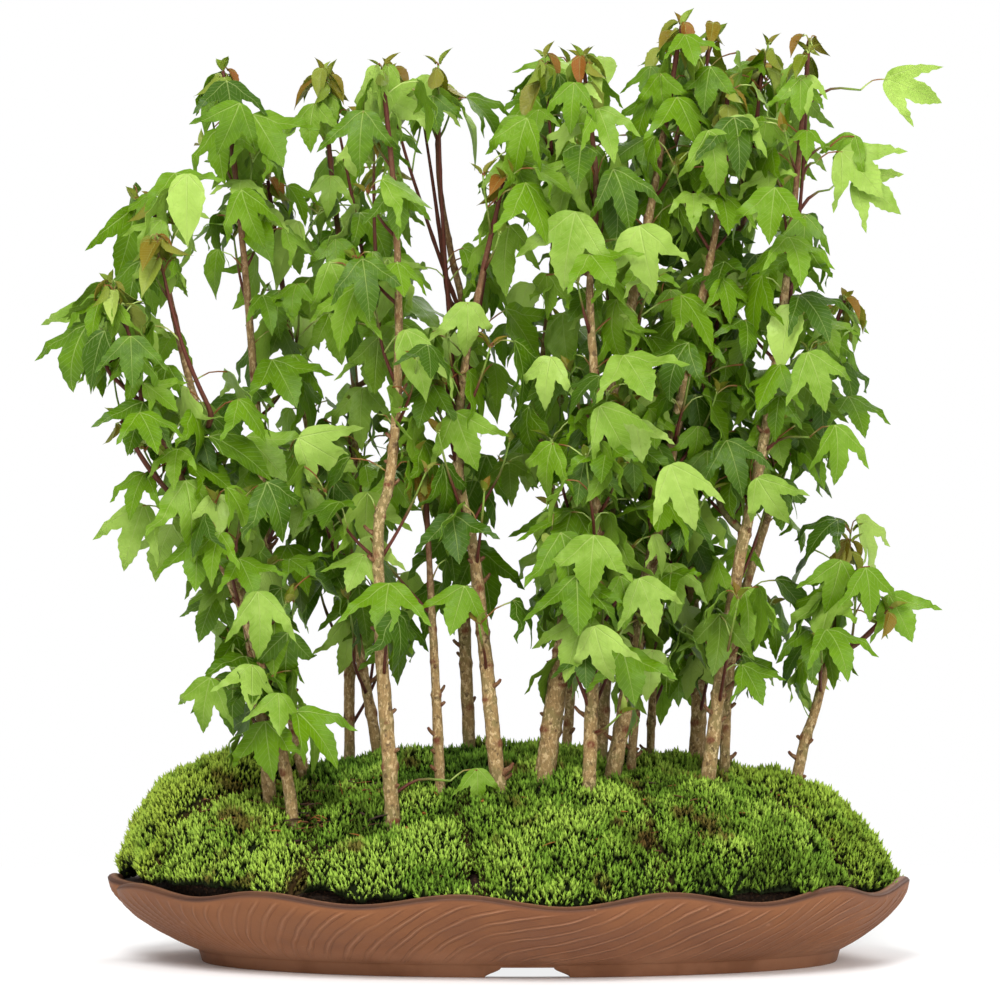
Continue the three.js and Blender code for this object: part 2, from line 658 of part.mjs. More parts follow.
let soil = makeSoil();
let cushions = makeCushions();
for (const { foot, rings } of grove) {
  const under = { ...rings[0], at: rings[0].at.clone().setZ(-ROOT_DEPTH - CLEAR) };
  const socket = stemTube([under, ...rings.slice(1, 5)], CLEAR).translate(foot.toArray());
  soil = soil.subtract(socket);
  cushions = cushions.map((cushion) => (boxesMeet(cushion, socket, 0) ? cushion.subtract(socket) : cushion));
}
planter.add(meshOf("soil", soil, SOIL));
Object.keys(CUSHIONS).forEach((name, i) => planter.add(meshOf("moss_" + name, cushions[i], MOSS)));

const crowns = [];
grove.forEach((maple, i) => {
  const { foot, trunk } = maple;
  const neighbours = grove.filter((other) => other !== maple);
  const stems = neighbours.flatMap((other) =>
    [other.trunk, other.sleeve].map((solid) => solid.translate(other.foot.toArray())),
  );
  const crown = makeCrown(maple, [tray, soil, ...cushions, ...stems, ...crowns], i);
  crowns.push(crown.translate(foot.toArray()));
  const tree = new THREE.Group();
  tree.position.copy(foot);
  tree.add(meshOf("trunk_" + two(i + 1), trunk, BARK));
  tree.add(meshOf("crown_" + two(i + 1), crown, LEAF));
  planter.add(tree);
});

export default planter;
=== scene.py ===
"""The looks of a bonsai forest: twenty young trident maples on a mossy mound in a long clay tray.

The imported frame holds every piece's place and size. This script grows the leaves, bark, moss and clay
around it, in metres. +X runs along the tray, -Y is the front, +Z is up, and the shelf is z = 0.
"""

import json
import math
import random

import bmesh
import bpy
import numpy as np
from mathutils import Matrix, Vector, noise
from mathutils.bvhtree import BVHTree
from mathutils.geometry import delaunay_2d_cdt

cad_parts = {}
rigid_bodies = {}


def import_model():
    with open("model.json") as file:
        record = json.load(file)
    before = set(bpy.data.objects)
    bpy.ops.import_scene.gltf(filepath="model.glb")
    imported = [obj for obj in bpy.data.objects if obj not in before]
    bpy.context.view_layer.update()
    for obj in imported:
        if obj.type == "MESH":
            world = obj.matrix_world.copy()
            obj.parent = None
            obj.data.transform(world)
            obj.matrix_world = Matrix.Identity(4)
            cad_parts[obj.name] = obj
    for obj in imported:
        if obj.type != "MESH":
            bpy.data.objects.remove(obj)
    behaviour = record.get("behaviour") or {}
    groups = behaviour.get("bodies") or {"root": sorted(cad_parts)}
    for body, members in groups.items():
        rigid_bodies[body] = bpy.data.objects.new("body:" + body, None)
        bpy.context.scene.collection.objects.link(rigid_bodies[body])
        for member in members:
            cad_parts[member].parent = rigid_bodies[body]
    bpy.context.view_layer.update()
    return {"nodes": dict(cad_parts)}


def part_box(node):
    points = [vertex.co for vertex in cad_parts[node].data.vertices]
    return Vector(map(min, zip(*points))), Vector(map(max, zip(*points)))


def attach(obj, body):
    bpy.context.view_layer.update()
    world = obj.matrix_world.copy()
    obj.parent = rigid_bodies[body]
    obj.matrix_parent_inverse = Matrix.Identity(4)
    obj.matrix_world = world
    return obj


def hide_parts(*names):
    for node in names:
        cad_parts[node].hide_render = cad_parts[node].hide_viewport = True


bl_info = {
    "name": "Maple Grove Tray",
    "version": (1, 0, 0),
    "blender": (4, 5, 0),
    "location": "3D Viewport > Sidebar > Maple Grove",
    "description": "Grows a mossy tray of young maples around its frame",
    "category": "Add Mesh",
}

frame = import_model()
NODES = frame["nodes"]
NODES_OF_MOSS = [name for name in NODES if name.startswith("moss_")]
MM = 0.001


def mm(*values):
    """Millimetres as metres: a number, or a point."""
    return values[0] * MM if len(values) == 1 else Vector(values) * MM


def paint(red, green, blue):
    """A colour given from 0 to 255, as the linear red, green and blue that nodes take."""
    shares = (red / 255, green / 255, blue / 255)
    return tuple(c / 12.92 if c <= 0.04045 else ((c + 0.055) / 1.055) ** 2.4 for c in shares)


# ---- what a user would change ----


def colour(name, description, rgb):
    return bpy.props.FloatVectorProperty(
        name=name, description=description, subtype="COLOR", size=3, min=0, max=1, default=paint(*rgb)
    )


def length(name, description, millimetres):
    return bpy.props.FloatProperty(
        name=name, description=description, subtype="DISTANCE", unit="LENGTH", default=mm(millimetres)
    )


def number(name, description, default):
    return bpy.props.FloatProperty(name=name, description=description, default=default)


class TrayLooks(bpy.types.PropertyGroup):
    """The clay tray."""

    clay: colour("Clay", "Fired clay of the wall", (127, 81, 50))
    # The dark clay is also the painted shade on the flanks of the wall's veins.
    clay_dark_and_shade: colour("Dark clay", "Clay where the firing was hotter", (100, 60, 38))
    lip: colour("Lip", "Clay of the lip and inside", (70, 48, 40))
    # The pale dust colour is also the painted highlight on the tops of the wall's veins.
    dust_and_highlight: colour("Dust", "Pale dust in the low grooves", (154, 110, 82))
    relief: length("Relief", "Height of the veins on the wall", 0.75)
    vein_pitch: length("Vein pitch", "Distance from one vein to the next", 7.2)
    lip_radius: length("Lip radius", "Rounding of the lip", 2.6)


class GroveLooks(bpy.types.PropertyGroup):
    """The maples."""

    leaf_length: length("Leaf length", "Blade from its base to its tip", 35.0)
    # The tint that picks between bright, mid and dark leaf is partly random and partly rises with a leaf's
    # height: painted light high in the crown, painted shade low in it.
    leaf_bright: colour("Bright leaf", "Leaf in full light", (184, 213, 102))
    leaf_mid: colour("Leaf", "Most of the leaves", (112, 154, 4))
    leaf_dark: colour("Dark leaf", "Old leaf", (64, 100, 0))
    leaf_young: colour("Young leaf", "Leaf that has just opened", (156, 92, 30))
    leaf_glow: colour("Leaf glow", "Light that comes through a leaf", (158, 198, 30))
    vein: colour("Leaf vein", "Main veins", (196, 216, 122))
    stalk: colour("Stalk", "Leaf stalks", (150, 92, 52))
    bark: colour("Bark", "Bark of the old stems", (150, 122, 78))
    bark_pale: colour("Pale bark", "Dry flakes on the old stems", (206, 180, 134))
    bark_dark: colour("Dark bark", "Cracks and scars", (74, 50, 32))
    bark_olive: colour("Olive bark", "Algae on the bark", (112, 106, 62))
    scar: colour("Scar", "Rough scars at the nodes", (98, 46, 26))
    shoot: colour("Shoot", "Last year's shoots", (82, 36, 22))
    shoot_new: colour("New shoot", "This year's shoots", (112, 140, 50))
    seed: bpy.props.IntProperty(name="Seed", description="Where leaves and twigs grow", default=11)


class MossLooks(bpy.types.PropertyGroup):
    """The moss and the soil."""

    bright: colour("Bright moss", "Tips of the fresh moss", (160, 194, 74))
    mid: colour("Moss", "Most of the moss", (108, 148, 44))
    shade: colour("Shaded moss", "Older, darker moss", (58, 88, 20))
    # Painted shade: the near-black between the sprouts and at their feet.
    dark: colour("Dark moss", "Moss deep in the cushion", (20, 28, 6))
    yellow: colour("Yellow moss", "Moss in full sun", (174, 190, 62))
    brown: colour("Dry moss", "Dead moss and litter", (96, 62, 34))
    soil: colour("Soil", "Damp soil", (48, 35, 26))
    lump_height: length("Lump height", "How far the cushions swell and sink", 7.5)
    sprout_height: length("Sprout height", "Length of one sprout", 6.6)
    sprout_spacing: length("Sprout spacing", "Least distance between two sprouts", 1.62)
    spill: number(
        "Spill", "How far the moss reaches out over the tray's edge, as a share of its width", 0.04
    )


CAMERA_DISTANCE = 2600.0  # to the middle of the tray, in mm
CAMERA_HEIGHT = 262.0  # above the shelf, in mm


class StageLooks(bpy.types.PropertyGroup):
    """The floor, the lights and the camera."""

    floor: colour("Floor", "Pale floor", (246, 246, 246))
    distance: length("Camera distance", "Camera to the middle of the tray", CAMERA_DISTANCE)
    height: length("Camera height", "Camera above the shelf", CAMERA_HEIGHT)
    lens: number("Lens", "Focal length in millimetres on a 36 mm sensor", 164.2)


# ---- meshes ----


class Build:
    """Collects points, faces and a value for each point, and makes one mesh of them."""

    def __init__(self, *names):
        self.points = []
        self.faces = []
        self.values = {name: [] for name in names}

    def add(self, points, faces, **values):
        start = len(self.points)
        self.points.extend(map(tuple, points))
        self.faces.extend(tuple(start + i for i in face) for face in faces)
        for name, column in self.values.items():
            value = values.get(name, 0.0)
            column.extend(value if hasattr(value, "__len__") else [value] * len(points))

    def mesh(self, name):
        mesh = bpy.data.meshes.new(name)
        mesh.from_pydata(self.points, [], self.faces)
        for key, column in self.values.items():
            mesh.attributes.new(key, "FLOAT", "POINT").data.foreach_set("value", column)
        mesh.shade_smooth()
        return mesh


def place_object(name, mesh, material=None):
    """An object at the origin that holds a mesh."""
    piece = bpy.data.objects.new(name, mesh)
    bpy.context.scene.collection.objects.link(piece)
    if material:
        mesh.materials.clear()
        mesh.materials.append(material)
    return piece


def show(piece, slot_name, *replaced):
    """Puts a finished piece on the root body and hides the frame's nodes that it stands for; the name of
    its finish is not used.
    """
    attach(piece, "root")
    if replaced:
        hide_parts(*replaced)
    return piece


def settle(piece):
    """Turns an object and its modifiers into a plain mesh of the same name."""
    result = bpy.data.meshes.new_from_object(piece.evaluated_get(bpy.context.evaluated_depsgraph_get()))
    piece.modifiers.clear()
    old = piece.data
    piece.data = result
    bpy.data.meshes.remove(old)
    result.name = piece.name
    return piece


def smoothed(points, count):
    """A smooth curve through points, as that many points evenly spread over their number."""
    points = np.asarray(points, float)
    padded = np.vstack([2 * points[0] - points[1], points, 2 * points[-1] - points[-2]])
    spans = np.linspace(0, len(points) - 1, count)
    index = np.minimum(spans.astype(int), len(points) - 2)
    t = (spans - index)[:, None]
    p0, p1, p2, p3 = (padded[index + i] for i in range(4))
    square, cube = 2 * p0 - 5 * p1 + 4 * p2 - p3, 3 * p1 - p0 - 3 * p2 + p3
    return 0.5 * (2 * p1 + (p2 - p0) * t + square * t**2 + cube * t**3)


def ring_faces(count, sides):
    """The faces of a closed skin over stacked rings of points, with a flat end at each side."""
    faces = [tuple(reversed(range(sides)))]
    for i in range(count - 1):
        low, high = i * sides, (i + 1) * sides
        faces += [
            (low + j, low + (j + 1) % sides, high + (j + 1) % sides, high + j) for j in range(sides)
        ]
    last = (count - 1) * sides
    faces.append(tuple(range(last, last + sides)))
    return faces


def tube(points, radii, sides):
    """A closed tube along points. radii has a value for each ring, or for each point of each ring."""
    points = np.asarray(points, float)
    along = np.gradient(points, axis=0)
    along /= np.linalg.norm(along, axis=1)[:, None]
    across = np.cross(along[0], (0.31, 0.95, 0.05))
    radii = np.broadcast_to(np.asarray(radii, float).reshape(len(points), -1), (len(points), sides))
    angles = np.arange(sides) / sides * 2 * math.pi
    rings = []
    for place, heading, radius in zip(points, along, radii):
        across = across - np.dot(across, heading) * heading
        across /= np.linalg.norm(across)
        other = np.cross(heading, across)
        rings.append(
            place + radius[:, None] * (np.outer(np.cos(angles), across) + np.outer(np.sin(angles), other))
        )
    return np.vstack(rings), ring_faces(len(points), sides)


# ---- shader nodes ----


class Graph:
    """Adds nodes to a tree and joins them. A value is a number, a colour, a socket or a node."""

    def __init__(self, tree):
        self.tree = tree

    def feed(self, value, socket):
        if isinstance(value, bpy.types.Node):
            value = value.outputs[0]
        if isinstance(value, bpy.types.NodeSocket):
            self.tree.links.new(value, socket)
        elif value is not None:
            if hasattr(
                value, "__len__"
            ) and not isinstance(value, str) and socket.type == "RGBA" and len(value) == 3:
                value = (*value, 1)
            socket.default_value = value

    def add(self, kind, *values, named=None, **settings):
        node = self.tree.nodes.new(kind)
        for key, value in settings.items():
            setattr(node, key, value)
        for socket, value in zip(node.inputs, values):
            self.feed(value, socket)
        for key, value in (named or {}).items():
            self.feed(value, node.inputs[key])
        return node

    def math(self, operation, *values):
        return self.add("ShaderNodeMath", *values, operation=operation)

    def times(self, first, second):
        return self.math("MULTIPLY", first, second)

    def plus(self, first, second):
        return self.math("ADD", first, second)

    def minus(self, first, second):
        return self.math("SUBTRACT", first, second)

    def mix(self, share, first, second, blend="MIX"):
        node = self.add("ShaderNodeMix", data_type="RGBA", blend_type=blend)
        for value, index in ((share, 0), (first, 6), (second, 7)):
            self.feed(value, node.inputs[index])
        return node.outputs[2]

    def between(self, value, low, high, start=0.0, end=1.0):
        """A value smoothly moved from one range to another, and kept inside it."""
        return self.add(
            "ShaderNodeMapRange", value, low, high, start, end, interpolation_type="SMOOTHSTEP"
        )

    def noise(self, place, scale, detail=3.0, roughness=0.55):
        node = self.add("ShaderNodeTexNoise", place)
        for key, value in (("Scale", scale), ("Detail", detail), ("Roughness", roughness)):
            self.feed(value, node.inputs[key])
        return node.outputs[0]

    def stretched(self, place, x, y, z):
        return self.add("ShaderNodeMapping", place, named={"Scale": (x, y, z)})

    def read(self, name):
        return self.add("ShaderNodeAttribute", attribute_name=name).outputs["Fac"]

    def place(self):
        return self.add("ShaderNodeTexCoord").outputs["Object"]


def new_group(name, inputs, outputs):
    """An empty shader node group with named sockets, as its tree, its graph and the two end nodes."""
    group = bpy.data.node_groups.new(name, "ShaderNodeTree")
    for in_out, sockets in (("INPUT", inputs), ("OUTPUT", outputs)):
        for label, kind in sockets:
            group.interface.new_socket(label, in_out=in_out, socket_type="NodeSocket" + kind)
    graph = Graph(group)
    return group, graph, graph.add("NodeGroupInput"), graph.add("NodeGroupOutput")


def mottle_group():
    """Two sizes of blotch over a surface, and its fine grain as a height."""
    if "mottle" in bpy.data.node_groups:
        return bpy.data.node_groups["mottle"]
    inputs = [("Place", "Vector"), ("Blotch Size", "Float"), ("Grain Size", "Float")]
    group, graph, start, end = new_group("mottle", inputs, [("Blotch", "Float"), ("Grain", "Float")])
    place, blotch_size, grain_size = (start.outputs[i] for i in range(3))
    wide = graph.noise(place, graph.math("DIVIDE", 1.0, blotch_size), 4.0)
    near = graph.noise(place, graph.math("DIVIDE", 3.1, blotch_size), 3.0)
    both = graph.plus(graph.times(wide, 0.65), graph.times(near, 0.35))
    grain = graph.noise(place, graph.math("DIVIDE", 1.0, grain_size), 6.0, 0.7)
    graph.feed(graph.between(both, 0.36, 0.64), end.inputs[0])
    graph.feed(grain, end.inputs[1])
    return group


class Finish(Graph):
    """A new material with a Principled shader and object coordinates."""

    def __init__(self, name, **constants):
        self.material = bpy.data.materials.new(name)
        self.material.use_nodes = True
        super().__init__(self.material.node_tree)
        self.shader = self.tree.nodes["Principled BSDF"]
        for key, value in constants.items():
            self.shader.inputs[key.replace("_", " ")].default_value = value
        self.object_place = self.place()

    def mottle(self, blotch_size, grain_size, place=None):
        node = self.add("ShaderNodeGroup", node_tree=mottle_group())
        for value, socket in zip((place or self.object_place, blotch_size, grain_size), node.inputs):
            self.feed(value, socket)
        return node.outputs

    def finish(self, base, roughness, height=None, distance=0.0005, strength=1.0):
        self.feed(base, self.shader.inputs["Base Color"])
        self.feed(roughness, self.shader.inputs["Roughness"])
        if height is not None:
            bump = self.add(
                "ShaderNodeBump", named={"Strength": strength, "Distance": distance, "Height": height}
            )
            self.feed(bump, self.shader.inputs["Normal"])
        return self.material


def clay_material(looks):
    """Unglazed clay: blotches of hotter firing, a dark lip, pale dust low in the grooves, and painted
    light on the veins: painted shade on their flanks and a painted highlight on their tops.
    """
    finish = Finish("fired_clay", Specular_IOR_Level=0.2)
    blotch, grain = finish.mottle(0.05, 0.0016)
    climb, flow = finish.read("climb"), finish.read("flow")
    wall = finish.times(finish.between(climb, 0.0, 0.1), finish.between(climb, 0.9, 0.8))
    sway = finish.minus(finish.noise(finish.object_place, 26.0, 2.0), 0.5)
    wave = finish.math("COSINE", finish.times(finish.plus(flow, finish.times(sway, 0.9)), 2 * math.pi))
    wall = finish.times(
        wall, finish.between(finish.noise(finish.object_place, 44.0, 2.0), 0.34, 0.58, 0.4, 1.0)
    )
    end_fade = finish.between(
        finish.add("ShaderNodeSeparateXYZ", finish.object_place).outputs[0], -0.2, -0.06, 0.45, 1.0
    )
    wall = finish.times(wall, end_fade)
    vein = finish.times(finish.between(wave, 0.8, 1.0), wall)
    flank_shade = finish.times(
        finish.between(finish.math("ABSOLUTE", finish.minus(wave, 0.35)), 0.35, 0.0), wall
    )
    base = finish.mix(finish.times(blotch, 0.55), looks.clay, looks.clay_dark_and_shade)
    # Painted shade: the flanks of each vein are darkened with the dark clay.
    base = finish.mix(finish.times(flank_shade, 0.85), base, looks.clay_dark_and_shade)
    # Painted highlight: the top of each vein is lightened with the pale dust colour.
    base = finish.mix(finish.times(vein, 0.65), base, looks.dust_and_highlight)
    base = finish.mix(finish.times(finish.between(grain, 0.5, 0.75), 0.25), base, looks.clay_dark_and_shade)
    low = finish.times(finish.between(climb, 0.34, 0.02), finish.between(blotch, 0.0, 0.9, 0.75, 0.3))
    base = finish.mix(finish.times(low, finish.between(vein, 1.0, 0.0)), base, looks.dust_and_highlight)
    foot = finish.between(climb, 0.01, -0.04)
    base = finish.mix(finish.times(foot, 0.2), base, looks.clay_dark_and_shade)
    lip = finish.times(finish.between(climb, 0.9, 0.945), finish.between(blotch, 0.0, 1.0, 0.9, 0.6))
    base = finish.mix(lip, base, looks.lip)
    edge = finish.times(finish.between(climb, 0.985, 1.0), finish.between(grain, 0.35, 0.65, 0.25, 0.6))
    base = finish.mix(edge, base, looks.dust_and_highlight)
    chips = finish.between(finish.noise(finish.object_place, 160.0, 1.0), 0.76, 0.79)
    base = finish.mix(finish.times(chips, 0.4), base, looks.dust_and_highlight)
    rough = finish.between(blotch, 0.0, 1.0, 0.62, 0.5)
    raised = finish.minus(finish.times(vein, 1.2), finish.times(flank_shade, 0.5))
    height = finish.plus(finish.times(grain, 0.35), raised)
    return finish.finish(base, rough, height, 0.0006, 0.8)


def bark_material(looks):
    """Bark: green and red-brown on thin shoots, tan and cracked with olive patches on old stems."""
    finish = Finish("bark", Specular_IOR_Level=0.3)
    age = finish.read("age")
    blotch, _ = finish.mottle(0.022, 0.001)
    fibre = finish.noise(finish.stretched(finish.object_place, 1.0, 1.0, 0.3), 900.0, 5.0, 0.7)
    rings = finish.noise(finish.stretched(finish.object_place, 0.35, 0.35, 2.2), 300.0, 3.0)
    flakes = finish.noise(finish.stretched(finish.object_place, 1.0, 1.0, 0.62), 520.0, 3.0, 0.65)
    specks = finish.noise(finish.stretched(finish.object_place, 1.0, 1.0, 0.75), 340.0, 2.0, 0.5)
    old = finish.mix(finish.times(finish.between(fibre, 0.6, 0.36), 0.4), looks.bark, looks.bark_dark)
    old = finish.mix(finish.times(finish.between(blotch, 0.35, 0.9), 0.55), old, looks.bark_olive)
    old = finish.mix(finish.times(finish.between(flakes, 0.5, 0.62), 0.6), old, looks.bark_pale)
    old = finish.mix(finish.times(finish.between(specks, 0.6, 0.68), 0.7), old, looks.bark_dark)
    old = finish.mix(finish.times(finish.between(rings, 0.6, 0.72), 0.2), old, looks.bark_dark)
    old = finish.mix(finish.times(finish.read("low"), 0.7), old, paint(70, 78, 34))
    scar = finish.between(finish.read("scar"), 0.15, 0.7)
    old = finish.mix(finish.times(scar, finish.between(fibre, 0.4, 0.6, 0.95, 0.6)), old, looks.scar)
    young = finish.mix(finish.between(age, 0.0, 0.12), looks.shoot_new, looks.shoot)
    young = finish.mix(finish.times(finish.between(rings, 0.5, 0.7), 0.4), young, looks.bark_dark)
    base = finish.mix(finish.between(age, 0.3, 0.85), young, old)
    height = finish.plus(fibre, finish.plus(flakes, finish.times(rings, 0.2)))
    return finish.finish(base, finish.between(age, 0.0, 0.8, 0.5, 0.82), height, 0.0006, 0.9)


def leaf_material(looks):
    """Maple leaf: tinted leaf by leaf, with pale veins, a paler underside and a reddish stalk."""
    finish = Finish("leaf", Specular_IOR_Level=0.34)
    blade = finish.add("ShaderNodeUVMap", uv_map="blade")
    split = finish.add("ShaderNodeSeparateXYZ", blade)
    across = finish.math("ABSOLUTE", split.outputs[0])
    along = split.outputs[1]
    lobe_along = finish.plus(finish.times(across, 0.67), finish.times(along, 0.742))
    lobe_side = finish.minus(finish.times(across, 0.742), finish.times(along, 0.67))
    lobe_off = finish.math("ABSOLUTE", lobe_side)
    middle = finish.between(across, finish.between(along, 0.0, 1.0, 0.022, 0.008), 0.002)
    side = finish.between(lobe_off, finish.between(lobe_along, 0.0, 0.9, 0.018, 0.006), 0.002)
    from_vein = finish.math("MINIMUM", across, lobe_off)
    reach = finish.math("MAXIMUM", along, lobe_along)
    waves = finish.math("SINE", finish.times(finish.minus(reach, from_vein), 62.0))
    twigs = finish.times(finish.between(waves, 0.86, 1.0), 0.45)
    veins = finish.math("MAXIMUM", finish.math("MAXIMUM", middle, side), twigs)
    tint = finish.read("tint")
    blotch, grain = finish.mottle(0.02, 0.0009)
    wobble = finish.plus(tint, finish.times(finish.minus(blotch, 0.5), 0.16))
    base = finish.mix(finish.between(wobble, 0.05, 0.5), looks.leaf_dark, looks.leaf_mid)
    base = finish.mix(finish.between(wobble, 0.45, 0.98), base, looks.leaf_bright)
    base = finish.mix(finish.read("young"), base, looks.leaf_young)
    base = finish.mix(finish.times(veins, 0.42), base, looks.vein)
    under = finish.read("under")
    base = finish.mix(finish.times(under, 0.35), base, paint(140, 170, 60))
    stalk = finish.between(along, -0.4, -0.6)
    stalk_red = finish.mix(
        finish.between(finish.noise(finish.object_place, 60.0, 1.0), 0.42, 0.58), looks.vein, looks.stalk
    )
    base = finish.mix(stalk, base, stalk_red)
    pucker = finish.times(finish.noise(finish.object_place, 210.0, 2.0), 2.4)
    height = finish.minus(finish.plus(finish.times(grain, 0.3), pucker), veins)
    bump = finish.add("ShaderNodeBump", named={"Strength": 0.6, "Distance": 0.0005, "Height": height})
    finish.feed(base, finish.shader.inputs["Base Color"])
    finish.feed(finish.between(blotch, 0.0, 1.0, 0.52, 0.4), finish.shader.inputs["Roughness"])
    finish.feed(bump, finish.shader.inputs["Normal"])
    glow = finish.add("ShaderNodeBsdfTranslucent", finish.mix(0.32, base, looks.leaf_glow), bump)
    both = finish.add("ShaderNodeMixShader", 0.4, finish.shader, glow)
    finish.feed(both, finish.tree.nodes["Material Output"].inputs["Surface"])
    return finish.material


def moss_material(looks):
    """Moss: dark painted shade between the sprouts, fresh at their tips, with patches of yellow and dry
    brown; its tint is painted lighter on the lumps and darker in their hollows.
    """
    finish = Finish("moss", Specular_IOR_Level=0.1)
    rise, tint, sun = finish.read("rise"), finish.read("tint"), finish.read("sun")
    blotch, grain = finish.mottle(0.03, 0.0012)
    fresh = finish.mix(finish.between(tint, -0.2, 0.5), looks.shade, looks.mid)
    fresh = finish.mix(finish.between(tint, 0.45, 1.1), fresh, looks.bright)
    fresh = finish.mix(
        finish.times(sun, finish.between(blotch, 0.0, 0.7, 0.35, 1.0)), fresh, looks.yellow
    )
    worn = finish.plus(
        finish.noise(finish.object_place, 30.0, 3.0), finish.times(finish.read("border"), 0.11)
    )
    dry = finish.between(worn, 0.6, 0.69)
    fresh = finish.mix(finish.times(dry, 0.8), fresh, looks.brown)
    # Painted shade: near-black deep in the cushion and at the sprouts' feet, browner near the cushions
    # beside it, where the moss is dry.
    deep = finish.mix(finish.times(finish.read("border"), 0.4), looks.dark, looks.brown)
    base = finish.mix(finish.between(rise, 0.08, 0.85), deep, fresh)
    height = finish.plus(grain, finish.noise(finish.object_place, 700.0, 3.0))
    return finish.finish(base, 0.78, height, 0.001, 0.8)


def ground_material(name, base_rgb, fleck_rgb, size, rough):
    """Loose ground: lumps of two colours."""
    finish = Finish(name, Specular_IOR_Level=0.25)
    cells = finish.add("ShaderNodeTexVoronoi", finish.object_place, named={"Scale": 1 / size})
    blotch, grain = finish.mottle(size * 4, size / 3)
    base = finish.mix(finish.between(cells.outputs["Distance"], 0.0, 0.6), fleck_rgb, base_rgb)
    base = finish.mix(finish.times(blotch, 0.5), base, base_rgb)
    height = finish.minus(finish.times(grain, 0.5), cells.outputs["Distance"])
    return finish.finish(base, rough, height, size, 0.8)


def plain_material(name, base_rgb, roughness, metallic=0.0):
    """Moulded plastic or drawn wire, with faint scuffs."""
    finish = Finish(name, Metallic=metallic)
    blotch, grain = finish.mottle(0.006, 0.0005)
    base = finish.mix(finish.times(blotch, 0.35), base_rgb, tuple(c * 0.6 for c in base_rgb))
    return finish.finish(
        base, finish.between(grain, 0.3, 0.7, roughness - 0.1, roughness + 0.1), grain, 0.0001, 0.4
    )


# ---- the tray ----

RIM_LENGTH = mm(452)
RIM_DEPTH = mm(288)
RIM_HEIGHT = mm(46)
RIM_WAVE = mm(3.4)
TRAY_SHIFT = mm(5)
FOOT_LENGTH = mm(366)
FOOT_DEPTH = mm(204)
FOOT_HEIGHT = mm(7)
FOOT_SHIFT = mm(6)
RECESS = mm(6)
FLOOR_TOP = mm(13)
WALL = mm(7)
NOTCH_WIDTH = mm(47)
NOTCH_SHIFT = mm(10)
DRAIN_RADIUS = mm(9)
DRAIN_PLACES = (mm(-84), mm(106))
TRAY_SIDES = 900


def bump(angle, at, width):
    """A smooth rise from 0 to 1 and back, round an angle in degrees."""
    away = (angle - math.radians(at) + math.pi) % (2 * math.pi) - math.pi
    return np.exp(-((away / math.radians(width)) ** 2))


def lobes(angle):
    """How far the rim swells or sinks along its outline, as a share."""
    return 1 + 0.01 * np.cos(9 * angle + 0.6) + 0.04 * bump(angle, 168, 14) - 0.06 * bump(angle, 186, 5)


def rim_height(angle):
    swing = RIM_WAVE * (0.7 + 0.3 * np.cos(angle - math.radians(300)))
    return RIM_HEIGHT + swing * np.cos(12 * (angle - math.radians(263)))


def outline(angle, share, inset=0.0):
    """The tray's outline between the foot (share 0) and the rim (share 1), moved in square to it."""

    def at(a):
        swell = 1 + (lobes(a) - 1) * share
        x = TRAY_SHIFT + FOOT_SHIFT * (1 - share) + (
            FOOT_LENGTH + (RIM_LENGTH - FOOT_LENGTH) * share
        ) / 2 * swell * np.cos(a)
        y = (FOOT_DEPTH + (RIM_DEPTH - FOOT_DEPTH) * share) / 2 * swell * np.sin(a)
        return np.stack([x, y], -1)

    tangent = at(angle + 0.03) - at(angle - 0.03)
    tangent /= np.linalg.norm(tangent, axis=-1, keepdims=True)
    return at(angle) + np.asarray(inset)[..., None] * np.stack([-tangent[..., 1], tangent[..., 0]], -1)


def bow(climb):
    """How far out the wall stands at a share of its height."""
    return np.sin(np.clip(climb, 0, 1) * math.pi / 2) ** 0.9


# How far the veins lean along the wall from foot to rim, in mm, at angles round the tray in degrees.
VEIN_LEAN = [
    (0, 60), (40, 50), (90, 60), (140, -40), (165, -30), (182, -20), (195, -45), (207, -25), (217, 5),
    (228, 40),
    (240, 60), (255, 75), (264, 92), (281, 100), (296, 80), (310, 48), (322, 52), (336, 85), (350, 90),
]


def vein_flow(angle, climb, pitch):
    """The number of the vein at each place of the wall. Veins fan out at the ends."""
    around = (RIM_LENGTH + RIM_DEPTH) / 2 * math.pi
    run = angle / (2 * math.pi) * around
    places, leans = (np.array(column, float) for column in zip(*VEIN_LEAN))
    step = (0.6 - climb) / 12
    for _ in range(12):
        lean = np.interp(np.degrees(run / around * 2 * math.pi), places, leans, period=360)
        run = run + lean * MM * step
    marks = np.linspace(-0.25, 1.5, 700) * around
    leans = np.interp(np.degrees(marks / around * 2 * math.pi), places, leans, period=360)
    numbers = np.concatenate(
        [[0], np.cumsum(np.diff(marks) / pitch / np.hypot(1, leans[1:] * MM / RIM_HEIGHT))]
    )
    return np.interp(run, marks, numbers) + 0.3 * np.sin(7 * angle + 2 * climb)


def vein_height(flow, angle, climb):
    """How high a vein stands, from 0 to 1: rounded, fading at the foot and the lip, bolder in places."""
    ridge = np.maximum(0, np.cos(2 * math.pi * flow)) ** 3
    fade = np.clip(climb * 7, 0, 1) * np.clip((0.9 - climb) * 8, 0, 1)
    bold = 0.6 + 0.4 * np.sin(3 * angle + 5 * climb + 0.7)
    return ridge * fade * (0.45 + 0.55 * bold)


